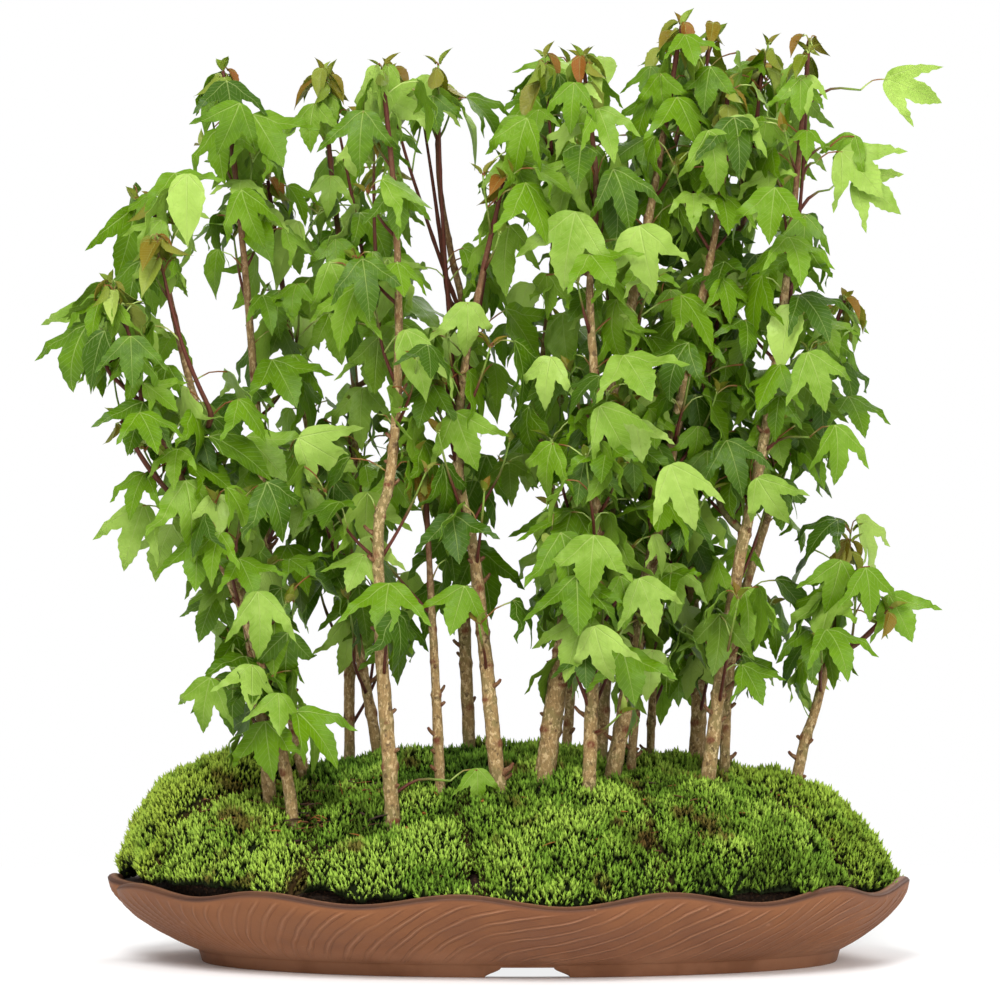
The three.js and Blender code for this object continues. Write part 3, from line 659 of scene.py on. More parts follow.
def tray_rings(looks):
    """The tray's skin as rings from the recess round the lip to the floor, with climb and flow."""
    angles = math.pi / 2 + np.arange(TRAY_SIDES) / TRAY_SIDES * 2 * math.pi
    top = rim_height(angles)
    rings = []

    def ring(points, z, climb, flow=0.0):
        z, climb, flow = (np.broadcast_to(value, angles.shape) for value in (z, climb, flow))
        rings.append((np.column_stack([points, z]), climb, flow))

    for inset in (16, 14):
        ring(outline(angles, 0, mm(inset)), RECESS, -0.1)
    for inset, z in ((13, 5.6), (13, 0.5), (12.5, 0), (2.6, 0), (2.1, 0.5), (0.4, 6.3), (0, 7)):
        ring(outline(angles, 0, mm(inset)), mm(z), -0.1)
    radius = looks.lip_radius
    for climb in np.linspace(0.02, 0.955, 40):
        flow = vein_flow(angles, climb, looks.vein_pitch)
        z = FOOT_HEIGHT + (top - FOOT_HEIGHT) * climb
        ring(
            outline(angles, bow(climb), -looks.relief * vein_height(flow, angles, climb)), z, climb, flow
        )
    for turn in (15, 45, 70, 90, 110, 135, 165):
        out = WALL / 2 - (WALL / 2) * math.cos(math.radians(turn))
        rise = radius * math.sin(math.radians(turn))
        ring(
            outline(angles, bow(0.97), out), top - radius + rise,
            0.95 + 0.05 * math.sin(math.radians(turn))
        )
    for climb in (0.93, 0.85, 0.7, 0.55, 0.4, 0.28, 0.19):
        z = np.maximum(FOOT_HEIGHT + (top - FOOT_HEIGHT) * climb, FLOOR_TOP + mm(0.5))
        ring(outline(angles, bow(climb), WALL), z, 0.95)
    ring(outline(angles, bow(0.154), WALL + mm(2)), FLOOR_TOP, 0.9)
    return rings


def build_tray(looks):
    rings = tray_rings(looks)
    build = Build("climb", "flow")
    points, climbs, flows = (np.concatenate([ring[k] for ring in rings]) for k in range(3))
    build.add(points, ring_faces(len(rings), TRAY_SIDES), climb=climbs, flow=flows)
    tray = place_object("clay_tray", build.mesh("clay_tray"), clay_material(looks))
    cutters = [notch_cutter()] + [drain_cutter(x) for x in DRAIN_PLACES]
    for cutter in cutters:
        cut = tray.modifiers.new("cut", "BOOLEAN")
        cut.object = cutter
        cut.operation = "DIFFERENCE"
        cut.solver = "EXACT"
    settle(tray)
    for cutter in cutters:
        bpy.data.objects.remove(cutter)
    return show(tray, "fired_clay", "tray")


def prism(name, outline_points, low, high, axis):
    """A closed bar with the given outline, from low to high along X, Y or Z."""
    order = {"Y": lambda u, v, w: (u, w, v), "Z": lambda u, v, w: (u, v, w)}[axis]
    count = len(outline_points)
    points = [order(u, v, w) for w in (low, high) for u, v in outline_points]
    faces = [tuple(range(count)), tuple(reversed(range(count, 2 * count)))]
    faces += [(j, count + j, count + (j + 1) % count, (j + 1) % count) for j in range(count)]
    build = Build()
    build.add(points, faces)
    mesh = build.mesh(name)
    flip_outwards(mesh)
    return place_object(name, mesh)


def flip_outwards(mesh):
    """Turns a closed mesh's faces to point out of it."""
    shape = bmesh.new()
    shape.from_mesh(mesh)
    bmesh.ops.recalc_face_normals(shape, faces=shape.faces)
    shape.to_mesh(mesh)
    shape.free()


def notch_cutter():
    """The gap in the foot ring: its ends lean in with a soft S."""
    half = NOTCH_WIDTH / 2
    side = [
        (half - mm(9) * (0.5 - 0.5 * math.cos(math.pi * t)), (RECESS - mm(0.3)) * t)
        for t in np.linspace(0, 1, 9)
    ]
    right = [(half, mm(-2))] + side
    left = [(-u, v) for u, v in reversed(right)]
    points = [(TRAY_SHIFT + NOTCH_SHIFT + u, v) for u, v in right + left]
    return prism("notch_cutter", points, -RIM_DEPTH / 2, RIM_DEPTH / 2, "Y")


def drain_cutter(x):
    angles = np.linspace(0, 2 * math.pi, 33)[:-1]
    circle = [(x + DRAIN_RADIUS * math.cos(a), DRAIN_RADIUS * math.sin(a)) for a in angles]
    return prism("drain_cutter", circle, mm(-5), mm(30), "Z")


# ---- stems ----


def stem_rings(node):
    """The rings of a trunk's solid from the root up, each as its middle and its radius."""
    points = np.unique(np.round([v.co for v in node.data.vertices], 6), axis=0)
    rings = []
    for z in np.unique(np.round(points[:, 2], 5)):
        ring = points[np.abs(points[:, 2] - z) < 2e-5]
        if len(ring) >= 6:
            middle = ring.mean(0)
            rings.append((middle, np.linalg.norm(ring - middle, axis=1).max()))
    return rings


class Stem:
    """A stem as points from the ground up, with its radius at each."""

    def __init__(self, points, radii):
        self.points = np.asarray(points, float)
        self.radii = np.asarray(radii, float)
        steps = np.linalg.norm(np.diff(self.points, axis=0), axis=1)
        self.run = np.concatenate([[0], np.cumsum(steps)])
        self.length = self.run[-1]

    def at(self, distance):
        """The place, the heading and the radius at a distance along the stem."""
        ahead, behind = (
            np.array(
                [np.interp(distance + step, self.run, self.points[:, k]) for k in range(3)]
            ) for step in (MM, -MM)
        )
        heading = (ahead - behind) / max(1e-9, np.linalg.norm(ahead - behind))
        return (ahead + behind) / 2, heading, float(np.interp(distance, self.run, self.radii))


def resample(points, radii, step):
    """A smooth stem through rings, with a point about every step."""
    points = np.asarray(points, float)
    total = np.linalg.norm(np.diff(points, axis=0), axis=1).sum()
    count = max(4, int(total / step))
    table = smoothed(np.column_stack([points, radii]), count)
    return Stem(table[:, :3], np.maximum(table[:, 3], mm(0.35)))


FORK_SHARE = 0.86  # a ring thinner than this share of the stem's expected radius is the fork's
STEM_TAPER = 1.1
STEM_STEP, FORK_STEP, SHOOT_STEP, TWIG_STEP = mm(2.2), mm(3), mm(4), mm(5)


def tree_stems(name):
    """A tree's main stem and its fork, if it has one, read from its solid."""
    rings = stem_rings(NODES[name])
    foot, tip = rings[1][0], rings[-1][0]
    widest, thinnest = rings[2][1], rings[-1][1]

    def expected(z):
        return widest + (thinnest - widest) * max(0, (z - foot[2]) / (tip[2] - foot[2])) ** STEM_TAPER

    main = [ring for ring in rings[2:] if ring[1] > FORK_SHARE * expected(ring[0][2])]
    fork = [ring for ring in rings[2:] if ring[1] <= FORK_SHARE * expected(ring[0][2])]
    points, radii = zip(*rings[:2], *main)
    stems = [resample(points, radii, STEM_STEP)]
    if len(fork) > 2:
        middles = np.array([point for point, _ in fork])
        gap = np.linalg.norm(stems[0].points - middles[0] + (0, 0, mm(12)), axis=1)
        start = stems[0].points[gap.argmin()]
        stems.append(
            resample([start, *middles], [fork[0][1], *(radius for _, radius in fork)], FORK_STEP)
        )
    return stems


# Shoots that stand up out of the crown, each as a line of points in mm.
SHOOTS = [
    [(-68, 30, 340), (-84, 30, 430), (-99, 28, 505)],
    [(-23, 12, 370), (-36, 6, 405), (-57, 2, 470), (-62, 0, 506)],
    [(-27, -14, 340), (-33, -16, 430), (-35, -18, 508)],
    [(-30, 20, 380), (-38, 22, 440), (-46, 24, 492)],
    [(-68, -20, 350), (-71, -24, 420), (-71, -26, 470)],
    [(-56, 26, 370), (-60, 30, 420), (-64, 30, 456)],
    [(36, -24, 400), (30, -28, 450), (25, -30, 511)],
    [(60, 10, 400), (55, 6, 450), (47, 4, 513)],
    [(-18, 0, 330), (-8, -10, 395), (-4, -16, 425), (3, -18, 450)],
    [(110, 0, 430), (114, -4, 480), (121, -8, 532)],
    [(142, 10, 430), (146, 8, 470), (149, 4, 500), (153, 2, 521)],
    [(158, -24, 320), (163, -28, 370), (170, -32, 440), (174, -34, 519)],
    [(-160, -78, 310), (-176, -84, 350), (-190, -86, 405)],
    [(-196, -84, 305), (-202, -88, 345), (-214, -90, 380)],
    [(128, 30, 440), (130, 34, 480), (129, 34, 504)],
    [(84, 40, 420), (92, 44, 480), (98, 46, 528)],
]

# The crown is thinner between the two groups of trees: from here to there in mm, and the share of
# leaves that is left out.
THIN_FROM, THIN_TO, THIN_SHARE = -82, 16, 0.34

# How a crown is filled: the tries, and the room in mm that a new leaf needs as seen from the front.
FILL_TRIES, FILL_ROOM, THIN_FILL_ROOM = 2200, 18, 24

# The room round the middle of a blade, in mm: to the next one, to a stem and to the crown's edge.
LEAF_ROOM, STEM_ROOM, EDGE_ROOM, TOP_ROOM = 11.5, 4.5, 11, 9
GAP_ROOM = (6, 7)  # how much wider and higher a gap is kept free of the middles of blades, in mm
CROWN_HALF_DEPTH = 142  # how far from the middle of the tray a blade may be, in mm

# The crown as seen from the front, in mm: the line round its leaves, and the gaps where light shows
# through, each as its middle and half its width and height.
CROWN_EDGE = [
    (-148, 80), (-168, 125), (-186, 154), (-184, 205), (-202, 228), (-227, 238), (-224, 285), (-218, 319),
    (-240, 333), (-258, 339), (-257, 365), (-238, 387), (-241, 422), (-227, 440), (-190, 458), (-182, 490),
    (-157, 516), (-114, 506), (-97, 514), (-80, 523), (-60, 523), (-40, 503), (-11, 515), (17, 518),
    (48, 529), (86, 538), (108, 540), (128, 516), (154, 524), (176, 520), (188, 500), (192, 420),
    (216, 365), (218, 296), (198, 262), (226, 236), (246, 199), (207, 179), (191, 146), (148, 136),
    (114, 150), (86, 122), (57, 146), (34, 134), (11, 154), (-17, 178), (-34, 180), (-57, 152),
    (-74, 174), (-88, 146), (-97, 108), (-114, 74),
]
CROWN_GAPS = [
    (-31, 424, 15, 54), (7, 246, 12, 22), (-170, 352, 16, 34), (-104, 178, 11, 28), (4, 182, 9, 34),
    (-48, 236, 8, 20), (18, 402, 6, 18), (-98, 330, 6, 14), (150, 236, 7, 14), (-10, 300, 6, 12),
]


def seen_from_front(point, stage):
    """Where a point shows on the upright plane through the middle of the tray, as x and z in mm."""
    scale = stage.distance / (stage.distance + point[1])
    return point[0] * scale / MM, (stage.height + (point[2] - stage.height) * scale) / MM


def inside(edge, x, z):
    """True where x, z lies inside a closed outline."""
    result = False
    for (x0, z0), (x1, z1) in zip(edge, edge[1:] + edge[:1]):
        if (z0 > z) != (z1 > z) and x < x0 + (z - z0) / (z1 - z0) * (x1 - x0):
            result = not result
    return result


# ---- leaves ----

# The right half of a blade's outline, from the base to the tip, for a blade of length 1: three lobes
# with small teeth, and the plain oval of a leaf low on a shoot.
LOBED_BLADE = [
    (0.05, 0.00), (0.15, 0.01), (0.25, 0.06), (0.34, 0.14), (0.42, 0.24), (0.48, 0.33), (0.51, 0.41),
    (0.58, 0.47), (0.61, 0.56), (0.67, 0.62), (0.73, 0.77), (0.61, 0.71), (0.56, 0.64), (0.47, 0.61),
    (0.41, 0.55), (0.31, 0.53),
    (0.235, 0.47), (0.22, 0.55), (0.25, 0.62), (0.215, 0.68), (0.215, 0.745), (0.16, 0.81), (0.145, 0.89),
    (0.085, 0.95), (0.055, 1.03), (0.02, 1.08),
]
OVAL_BLADE = [
    (0.06, 0.00), (0.16, 0.05), (0.25, 0.16), (0.30, 0.28), (0.30, 0.36), (0.33, 0.42), (0.285, 0.53),
    (0.29, 0.59),
    (0.21, 0.73), (0.125, 0.86), (0.045, 0.99),
]
VEIN_POINTS = [(0.13, 0.18), (0.25, 0.31), (0.37, 0.43), (0.50, 0.55), (0.12, 0.40), (0.11, 0.62)]
MIDRIB_POINTS = [(0, 0.14), (0, 0.3), (0, 0.46), (0, 0.62), (0, 0.78), (0, 0.92)]

# How each blade shape bends: curl down its length, fold along the midrib, droop of the side lobes,
# ripple, twist, and the width and length of its lobes. The last two are oval: folded bud leaves, and
# an open one.
BLADE_SHAPES = [
    {"curl": 0.55, "fold": 0.06, "droop": 0.25, "ripple": 0.03, "twist": 0.15, "wide": 1.0, "tip": 1.0},
    {"curl": 0.85, "fold": 0.16, "droop": 0.45, "ripple": 0.04, "twist": -0.3, "wide": 0.9, "tip": 1.06},
    {
        "curl": 0.35, "fold": -0.12, "droop": 0.5, "ripple": 0.035, "twist": 0.35, "wide": 1.06,
        "tip": 0.97
    },
    {"curl": 0.7, "fold": 0.3, "droop": 0.2, "ripple": 0.03, "twist": -0.2, "wide": 0.84, "tip": 1.1},
    {"curl": 1.15, "fold": 0.02, "droop": 0.6, "ripple": 0.05, "twist": 0.5, "wide": 0.96, "tip": 1.04},
    {"curl": 0.25, "fold": 0.2, "droop": 0.1, "ripple": 0.045, "twist": -0.5, "wide": 1.1, "tip": 0.94},
    {"curl": 0.3, "fold": 0.8, "droop": 0.1, "ripple": 0.01, "twist": 0.15, "wide": 0.9, "tip": 1.15},
    {"curl": 0.5, "fold": 0.22, "droop": 0.2, "ripple": 0.035, "twist": -0.3, "wide": 1.0, "tip": 1.1},
]
OPEN_KINDS = (0, 1, 2, 3, 4, 5, 0, 1, 2, 3, 4, 5, 7)
BUD_KIND = 6
BLADE_THICK = 0.004


def bend_blade(x, y, z, shape):
    """Moves a point of a flat blade to its place in the bent one."""
    side = abs(x)
    z += shape["fold"] * side
    z -= shape["droop"] * max(0.0, side - 0.12) ** 1.6
    z += shape["ripple"] * math.sin(11 * y + 5 * side) * side * 3
    turn = shape["twist"] * y
    x, z = x * math.cos(turn) - z * math.sin(turn), x * math.sin(turn) + z * math.cos(turn)
    curl = shape["curl"]
    past = max(0.0, y)
    angle = curl * past
    return x, math.sin(angle) / curl + z * math.sin(angle), z * math.cos(angle) - (
        1 - math.cos(angle)
    ) / curl


def blade_mesh(name, shape, half, vein_reach):
    """One blade, a thin closed lens with its base at the origin, its tip along +Y and its top up +Z."""
    right = [(x * shape["wide"], y * (1 if y < 0.6 else shape["tip"])) for x, y in half]
    tip = (0.0, 1.12 * shape["tip"])
    rim = [(0.0, -0.01), *right, tip, *((-x, y) for x, y in reversed(right))]
    inner = MIDRIB_POINTS + [
        (sign * x * vein_reach * shape["wide"], y) for sign in (1, -1) for x, y in VEIN_POINTS
    ]
    flat = [Vector(p) for p in rim + inner]
    loop = [(i, (i + 1) % len(rim)) for i in range(len(rim))]
    _, _, faces, *_ = delaunay_2d_cdt(flat, loop, [], 1, 1e-6)
    count = len(flat)
    flats = [(x, y) for x, y in flat] * 2
    points = [
        bend_blade(x, y, BLADE_THICK * (1 if i < count else -1), shape) for i, (x, y) in enumerate(flats)
    ]
    tops, bottoms = [], []
    for face in faces:
        (x0, y0), (x1, y1), (x2, y2) = (flat[i] for i in face)
        turned = (x1 - x0) * (y2 - y0) - (x2 - x0) * (y1 - y0) < 0
        face = tuple(reversed(face)) if turned else tuple(face)
        tops.append(face)
        bottoms.append(tuple(i + count for i in reversed(face)))
    bottoms += [(b, a, a + count, b + count) for a, b in loop]
    mesh = bpy.data.meshes.new(name)
    mesh.from_pydata(points, [], tops + bottoms)
    mesh.shade_smooth()
    uv = mesh.uv_layers.new(name="blade")
    for face_loop in mesh.loops:
        uv.data[face_loop.index].uv = flats[face_loop.vertex_index]
    mesh.attributes.new("under", "FLOAT", "FACE").data.foreach_set(
        "value", [0.0] * len(tops) + [1.0] * len(bottoms)
    )
    rims = {frozenset((a + start, b + start)) for a, b in loop for start in (0, count)}
    sharp = mesh.attributes.new("sharp_edge", "BOOLEAN", "EDGE")
    sharp.data.foreach_set("value", [frozenset(edge.vertices) in rims for edge in mesh.edges])
    return mesh


def shape_collection(name, meshes):
    """A collection of small shapes that a node tree picks from, kept out of the scene."""
    collection = bpy.data.collections.new(name)
    for mesh in meshes:
        collection.objects.link(bpy.data.objects.new(mesh.name, mesh))
    return collection


def forget(collection):
    for shape in list(collection.objects):
        mesh = shape.data
        bpy.data.objects.remove(shape)
        bpy.data.meshes.remove(mesh)
    bpy.data.collections.remove(collection)


def new_geometry_tree(name, inputs):
    """An empty geometry node tree with named inputs, as its tree, its graph and the two end nodes."""
    tree = bpy.data.node_groups.new(name, "GeometryNodeTree")
    for label, kind in inputs:
        tree.interface.new_socket(label, in_out="INPUT", socket_type="NodeSocket" + kind)
    tree.interface.new_socket("Mesh", in_out="OUTPUT", socket_type="NodeSocketGeometry")
    graph = Graph(tree)
    return tree, graph, graph.add("NodeGroupInput"), graph.add("NodeGroupOutput")


def grow_with(piece, tree, **inputs):
    """Puts a geometry node tree on a piece with its named inputs, and turns the result into a mesh."""
    modifier = piece.modifiers.new(tree.name, "NODES")
    modifier.node_group = tree
    sockets = {
        item.name: item.identifier for item in tree.interface.items_tree if item.item_type == "SOCKET"
    }
    for label, value in inputs.items():
        modifier[sockets[label.replace("_", " ")]] = value
    return settle(piece)


def stored(graph, name, kind):
    return graph.add("GeometryNodeInputNamedAttribute", named={"Name": name}, data_type=kind)


def shapes_on_points_tree():
    """Puts a shape from a collection on each marked point, and keeps the rest of the mesh."""
    if "shapes on points" in bpy.data.node_groups:
        return bpy.data.node_groups["shapes on points"]
    inputs = [("Base", "Geometry"), ("Shapes", "Collection"), ("Size", "Float"), ("Material", "Material")]
    tree, graph, start, end = new_geometry_tree("shapes on points", inputs)
    marked = stored(graph, "marked", "FLOAT")
    split = graph.add(
        "GeometryNodeSeparateGeometry", start.outputs[0], graph.math("GREATER_THAN", marked, 0.5)
    )
    shapes = graph.add("GeometryNodeCollectionInfo", start.outputs[1], True, True)
    turn = graph.add("FunctionNodeEulerToRotation", stored(graph, "turn", "FLOAT_VECTOR"))
    size = graph.times(stored(graph, "size", "FLOAT"), start.outputs[2])
    copies = graph.add("GeometryNodeInstanceOnPoints")
    for key, value in (
        ("Points", split.outputs[0]), ("Instance", shapes), ("Pick Instance", True),
        ("Instance Index", stored(graph, "kind", "INT")), ("Rotation", turn), ("Scale", size),
    ):
        graph.feed(value, copies.inputs[key])
    real = graph.add("GeometryNodeRealizeInstances", copies)
    joined = graph.add("GeometryNodeJoinGeometry", real)
    graph.feed(split.outputs[1], joined.inputs[0])
    painted = graph.add("GeometryNodeSetMaterial", joined, None, start.outputs[3])
    graph.feed(painted, end.inputs[0])
    return tree


def facing(tip, face):
    """The turn of a shape whose +Y goes to tip and whose +Z goes towards face."""
    tip = Vector(tip).normalized()
    face = Vector(face)
    face = (face - face.dot(tip) * tip).normalized()
    return Matrix((tip.cross(face), tip, face)).transposed().to_euler()


class Foliage:
    """The leaves of one tree: where each blade sits, and its stalk."""

    def __init__(self):
        self.blades = []
        self.stalks = []

    def mesh(self, name):
        build = Build("marked", "size", "tint", "young")
        for path, tint in self.stalks:
            points, faces = tube(path, [mm(0.56), mm(0.44), mm(0.4), mm(0.44), mm(0.55)], 4)
            build.add(points, faces, tint=tint)
        stalk_loops = sum(len(face) for face in build.faces)
        for blade in self.blades:
            build.add(
                [blade["at"]], [], marked=1.0, size=blade["size"], tint=blade["tint"],
                young=blade["young"]
            )
        mesh = build.mesh(name)
        start = len(build.points) - len(self.blades)
        turns = np.zeros((len(build.points), 3))
        turns[start:] = [blade["turn"] for blade in self.blades]
        mesh.attributes.new("turn", "FLOAT_VECTOR", "POINT").data.foreach_set("vector", turns.ravel())
        kinds = [0] * start + [blade["kind"] for blade in self.blades]
        mesh.attributes.new("kind", "INT", "POINT").data.foreach_set("value", kinds)
        mesh.uv_layers.new(name="blade").data.foreach_set("uv", [0.0, -1.0] * stalk_loops)
        return mesh


class Grower:
    """Places leaves and twigs, and keeps them inside the crown's edge and clear of each other."""

    def __init__(self, looks, stage, stems):
        self.random = random.Random(looks.seed)
        self.looks = looks
        self.stage = stage
        self.middles = []
        self.stem_points = np.vstack([stem.points[::3] for tree in stems for stem in tree])

    def seen_inside(self, x, z):
        """True where the crown has leaves, as seen from the front."""
        gaps = (
            ((x - gx) / (wide + GAP_ROOM[0])) ** 2 + ((z - gz) / (high + GAP_ROOM[1])) ** 2
            for gx, gz, wide, high in CROWN_GAPS
        )
        around = ((x - EDGE_ROOM, z), (x + EDGE_ROOM, z), (x, z - EDGE_ROOM), (x, z + TOP_ROOM))
        return min(gaps) >= 1 and all(inside(CROWN_EDGE, *place) for place in around)

    def fits(self, middle, room):
        if not self.seen_inside(*seen_from_front(middle, self.stage)):
            return False
        if abs(middle[1]) > mm(CROWN_HALF_DEPTH):
            return False
        if self.middles and np.min(np.linalg.norm(np.array(self.middles) - middle, axis=1)) < mm(room):
            return False
        if THIN_FROM < middle[0] / MM < THIN_TO and self.random.random() < THIN_SHARE:
            return False
        away = np.linalg.norm(self.stem_points - middle, axis=1)
        return away.min() > mm(STEM_ROOM)

    def leaf(self, foliage, start, heading_angle, size=1.0, young=0.0, climb=None, stalk=None):
        """A leaf on a stem at start that grows out towards an angle. True if it found room."""
        pick = self.random
        out = np.array([math.cos(heading_angle), math.sin(heading_angle), 0.0])
        rise = math.radians(climb if climb is not None else pick.uniform(15, 60))
        reach = (stalk if stalk is not None else pick.uniform(10, 27)) * MM * size**0.5
        base = start + reach * (out * math.cos(rise) + np.array([0, 0, math.sin(rise)]))
        droop = math.radians(pick.triangular(12, 88, 56))
        yaw = heading_angle + math.radians(pick.gauss(0, 24))
        tip = np.array(
            [math.cos(yaw) * math.cos(droop), math.sin(yaw) * math.cos(droop), -math.sin(droop)]
        )
        face = np.array(
            [math.cos(yaw) * math.sin(droop), math.sin(yaw) * math.sin(droop), math.cos(droop)]
        )
        face += np.array([pick.gauss(0, 0.22), -0.55 + pick.gauss(0, 0.22), 0.25])
        blade_length = self.looks.leaf_length * size
        middle = base + tip * blade_length * 0.5
        if not self.fits(middle, LEAF_ROOM * min(1.0, size)):
            return False
        self.middles.append(middle)
        # Painted light: the tint rises with a leaf's height, so high leaves are painted lighter and low
        # ones darker.
        high = min(1.0, max(0.0, (middle[2] - mm(150)) / mm(380)))
        tint = min(0.92, max(0.0, pick.gauss(0.34 + 0.22 * high, 0.25)))
        self.put(
            foliage, start, base, tip, face, size, tint, young,
            BUD_KIND if young else pick.choice(OPEN_KINDS)
        )
        return True

    def buds(self, foliage, stem, count):
        """Small folded leaves in pairs at a stem's tip: the lowest hang, the top ones stand up."""
        pick = self.random
        turn = pick.uniform(0, 180)
        for k in range(count):
            at, heading, _ = stem.at(stem.length - mm(1 + 5 * (k // 2)))
            angle = math.radians(turn + 180 * k + 90 * (k // 2))
            out = np.array([math.cos(angle), math.sin(angle), 0])
            tip = heading * (0.9 if k < 2 else -0.7) + out * pick.uniform(0.35, 0.8)
            size = pick.uniform(0.18, 0.28) + 0.18 * (k // 2)
            base = at + mm(1.5 + 3 * (k // 2)) * (out + heading)
            shade = pick.uniform(0.15, 0.75)
            self.put(foliage, at, base, tip, heading - out, size, pick.uniform(0.2, 0.9), shade, BUD_KIND)

    def put(self, foliage, start, base, tip, face, size, tint, young, kind):
        foliage.blades.append(
            {
                "at": base, "turn": facing(tip, face), "size": size, "kind": kind, "tint": tint,
                "young": young
            }
        )
        bend = base + (start - base) * 0.5 + np.array([0, 0, mm(2.2)])
        into = base + np.asarray(tip, float) * mm(1.2)
        foliage.stalks.append((smoothed([start, bend, into], 5), tint))


def grow_twig(grower, foliage, twigs, start, heading_angle, run, radius):
    """A side twig with pairs of leaves. It is left out where too few of its leaves find room."""
    pick = grower.random
    out = np.array([math.cos(heading_angle), math.sin(heading_angle), 0.0])
    lean = math.radians(pick.uniform(28, 58))
    points = [start]
    for _ in range(3):
        lean = max(0.15, lean - math.radians(pick.uniform(2, 12)))
        step = run / 3
        side = np.array([-out[1], out[0], 0]) * pick.gauss(0, 0.12)
        points.append(
            points[-1] + step * ((out + side) * math.sin(lean) + np.array([0, 0, math.cos(lean)]))
        )
    if not grower.seen_inside(*seen_from_front(points[-1], grower.stage)):
        return 0
    twig = resample(points, np.linspace(radius, mm(0.55), 4), TWIG_STEP)
    kept = 0
    pairs = max(1, round(run / mm(22)))
    for k in range(1, pairs + 1):
        at, _, _ = twig.at(twig.length * k / pairs - MM)
        across = heading_angle + math.pi / 2 if k % 2 else heading_angle
        for side in (0, math.pi):
            angle = across + side + pick.gauss(0, 0.3)
            if k == pairs or k % 2 or pick.random() < 0.5:
                kept += grower.leaf(foliage, at, angle, pick.uniform(0.62, 1.05))
    if kept:
        twigs.append(twig)
        grower.buds(foliage, twig, 2)
    return kept


def grow_along(grower, foliage, twigs, stem, start, twiggy, taper):
    """Leaves and twigs in crossed pairs along a stem, from a distance along it to its tip."""
    pick = grower.random
    turn = pick.uniform(0, 360)
    distance = start
    while distance < stem.length - mm(4):
        at, _, radius = stem.at(distance)
        share = (distance - start) / max(mm(1), stem.length - start)
        for side in (0, 180):
            angle = math.radians(turn + side + pick.gauss(0, 14))
            foot = at + radius * 0.6 * np.array([math.cos(angle), math.sin(angle), 0])
            done = 0
            if pick.random() < twiggy * (1 - 0.75 * share):
                run = mm(pick.uniform(26, 72) * (1 - 0.45 * share))
                done = grow_twig(grower, foliage, twigs, foot, angle, run, min(radius * 0.55, mm(1.1)))
            if not done:
                grower.leaf(foliage, foot, angle, pick.uniform(0.7, 1.1) * (1 - taper * share))
        turn += 90 + pick.gauss(0, 10)
        distance += mm(pick.uniform(17, 26))
    fresh = pick.random() < 0.7
    for step, side in (
        (0, 0), (0, math.pi), (7, 1.6), (7, 4.7), (16, 0.4), (16, 3.5)
    )[: 6 if fresh else 2]:
        at, _, _ = stem.at(stem.length - mm(step))
        size = pick.uniform(0.32, 0.5) + 0.012 * step if fresh else pick.uniform(0.6, 0.85)
        young = max(0.0, pick.uniform(0.3, 1.0) - 0.03 * step) if fresh else 0.0
        grower.leaf(foliage, at, turn + side, size, young, climb=pick.uniform(35, 70), stalk=5)
    grower.buds(foliage, stem, 4)


# Leaves that stand out in front: middle of the blade (x, y, z in mm), length as a share, way of the tip
# in degrees from straight down, and brightness.
SHOW_LEAVES = [
    (-131, -96, 196, 1.0, 8, 0.85), (-97, -70, 288, 1.08, 60, 0.95), (80, -92, 395, 1.15, 10, 1.0),
    (37, -84, 402, 1.25, -14, 0.8), (100, -96, 266, 1.05, 22, 1.0), (55, -98, 178, 0.95, 12, 1.0),
    (50, -94, 226, 1.05, -6, 0.75), (83, -84, 205, 0.95, 24, 0.85), (63, -90, 301, 0.95, 32, 0.8),
    (-71, -70, 229, 0.82, 4, 1.0), (-54, -60, 481, 0.8, 70, 0.9), (-12, -76, 104, 0.6, 4, 0.7),
    (-206, -60, 408, 1.1, -8, 0.5), (-228, -50, 344, 0.9, -30, 0.75), (-232, -52, 358, 0.95, -20, 0.8),
    (-205, -60, 356, 1.0, 14, 0.9), (-204, -66, 244, 1.05, -20, 0.85), (-164, -80, 150, 0.9, -16, 0.7),
    (-128, -84, 124, 1.0, 6, 0.5), (-150, -60, 470, 0.9, -20, 0.4), (-140, -66, 420, 0.95, 14, 0.6),
    (-88, -70, 380, 1.0, 24, 0.7), (-52, -74, 340, 0.95, -10, 0.8), (-20, -70, 296, 1.0, 18, 0.7),
    (10, -70, 460, 0.95, -20, 0.6), (120, -70, 452, 1.0, 16, 0.7), (150, -80, 420, 0.95, -8, 0.6),
    (178, -60, 330, 1.0, 24, 0.7), (190, -50, 290, 0.9, 10, 0.6), (150, -70, 262, 0.9, 30, 0.8),
    (204, -30, 447, 1.05, 44, 0.95), (213, -24, 436, 0.95, 58, 0.9), (232, -20, 495, 0.95, 68, 0.95),
    (194, -28, 457, 0.8, -30, 0.7), (228, -10, 196, 0.9, 30, 0.6), (190, -20, 214, 0.9, -12, 0.6),
]


# All of them are this much smaller and darker than the list says, and a leaf further than this from
# any stem gets a twig of its own.
SHOW_SIZE, SHOW_TINT, TWIG_FROM = 0.93, 0.84, mm(24)


def reach_out(tree_list, crowns, target, height=14):
    """The stem that stands nearest below a place: how far off it is, where, and whose crown it is in."""
    best = (math.inf, None, None)
    for crown, tree in zip(crowns, tree_list):
        for stem in (*tree, *crown["shoots"]):
            below = stem.points[(stem.points[:, 2] < target[2] - mm(height)) & (stem.run > mm(34))]
            if len(below):
                gaps = np.linalg.norm((below - target) * (1, 0.7, 1.3), axis=1)
                if gaps.min() < best[0]:
                    best = (gaps.min(), below[gaps.argmin()], crown)
    return best


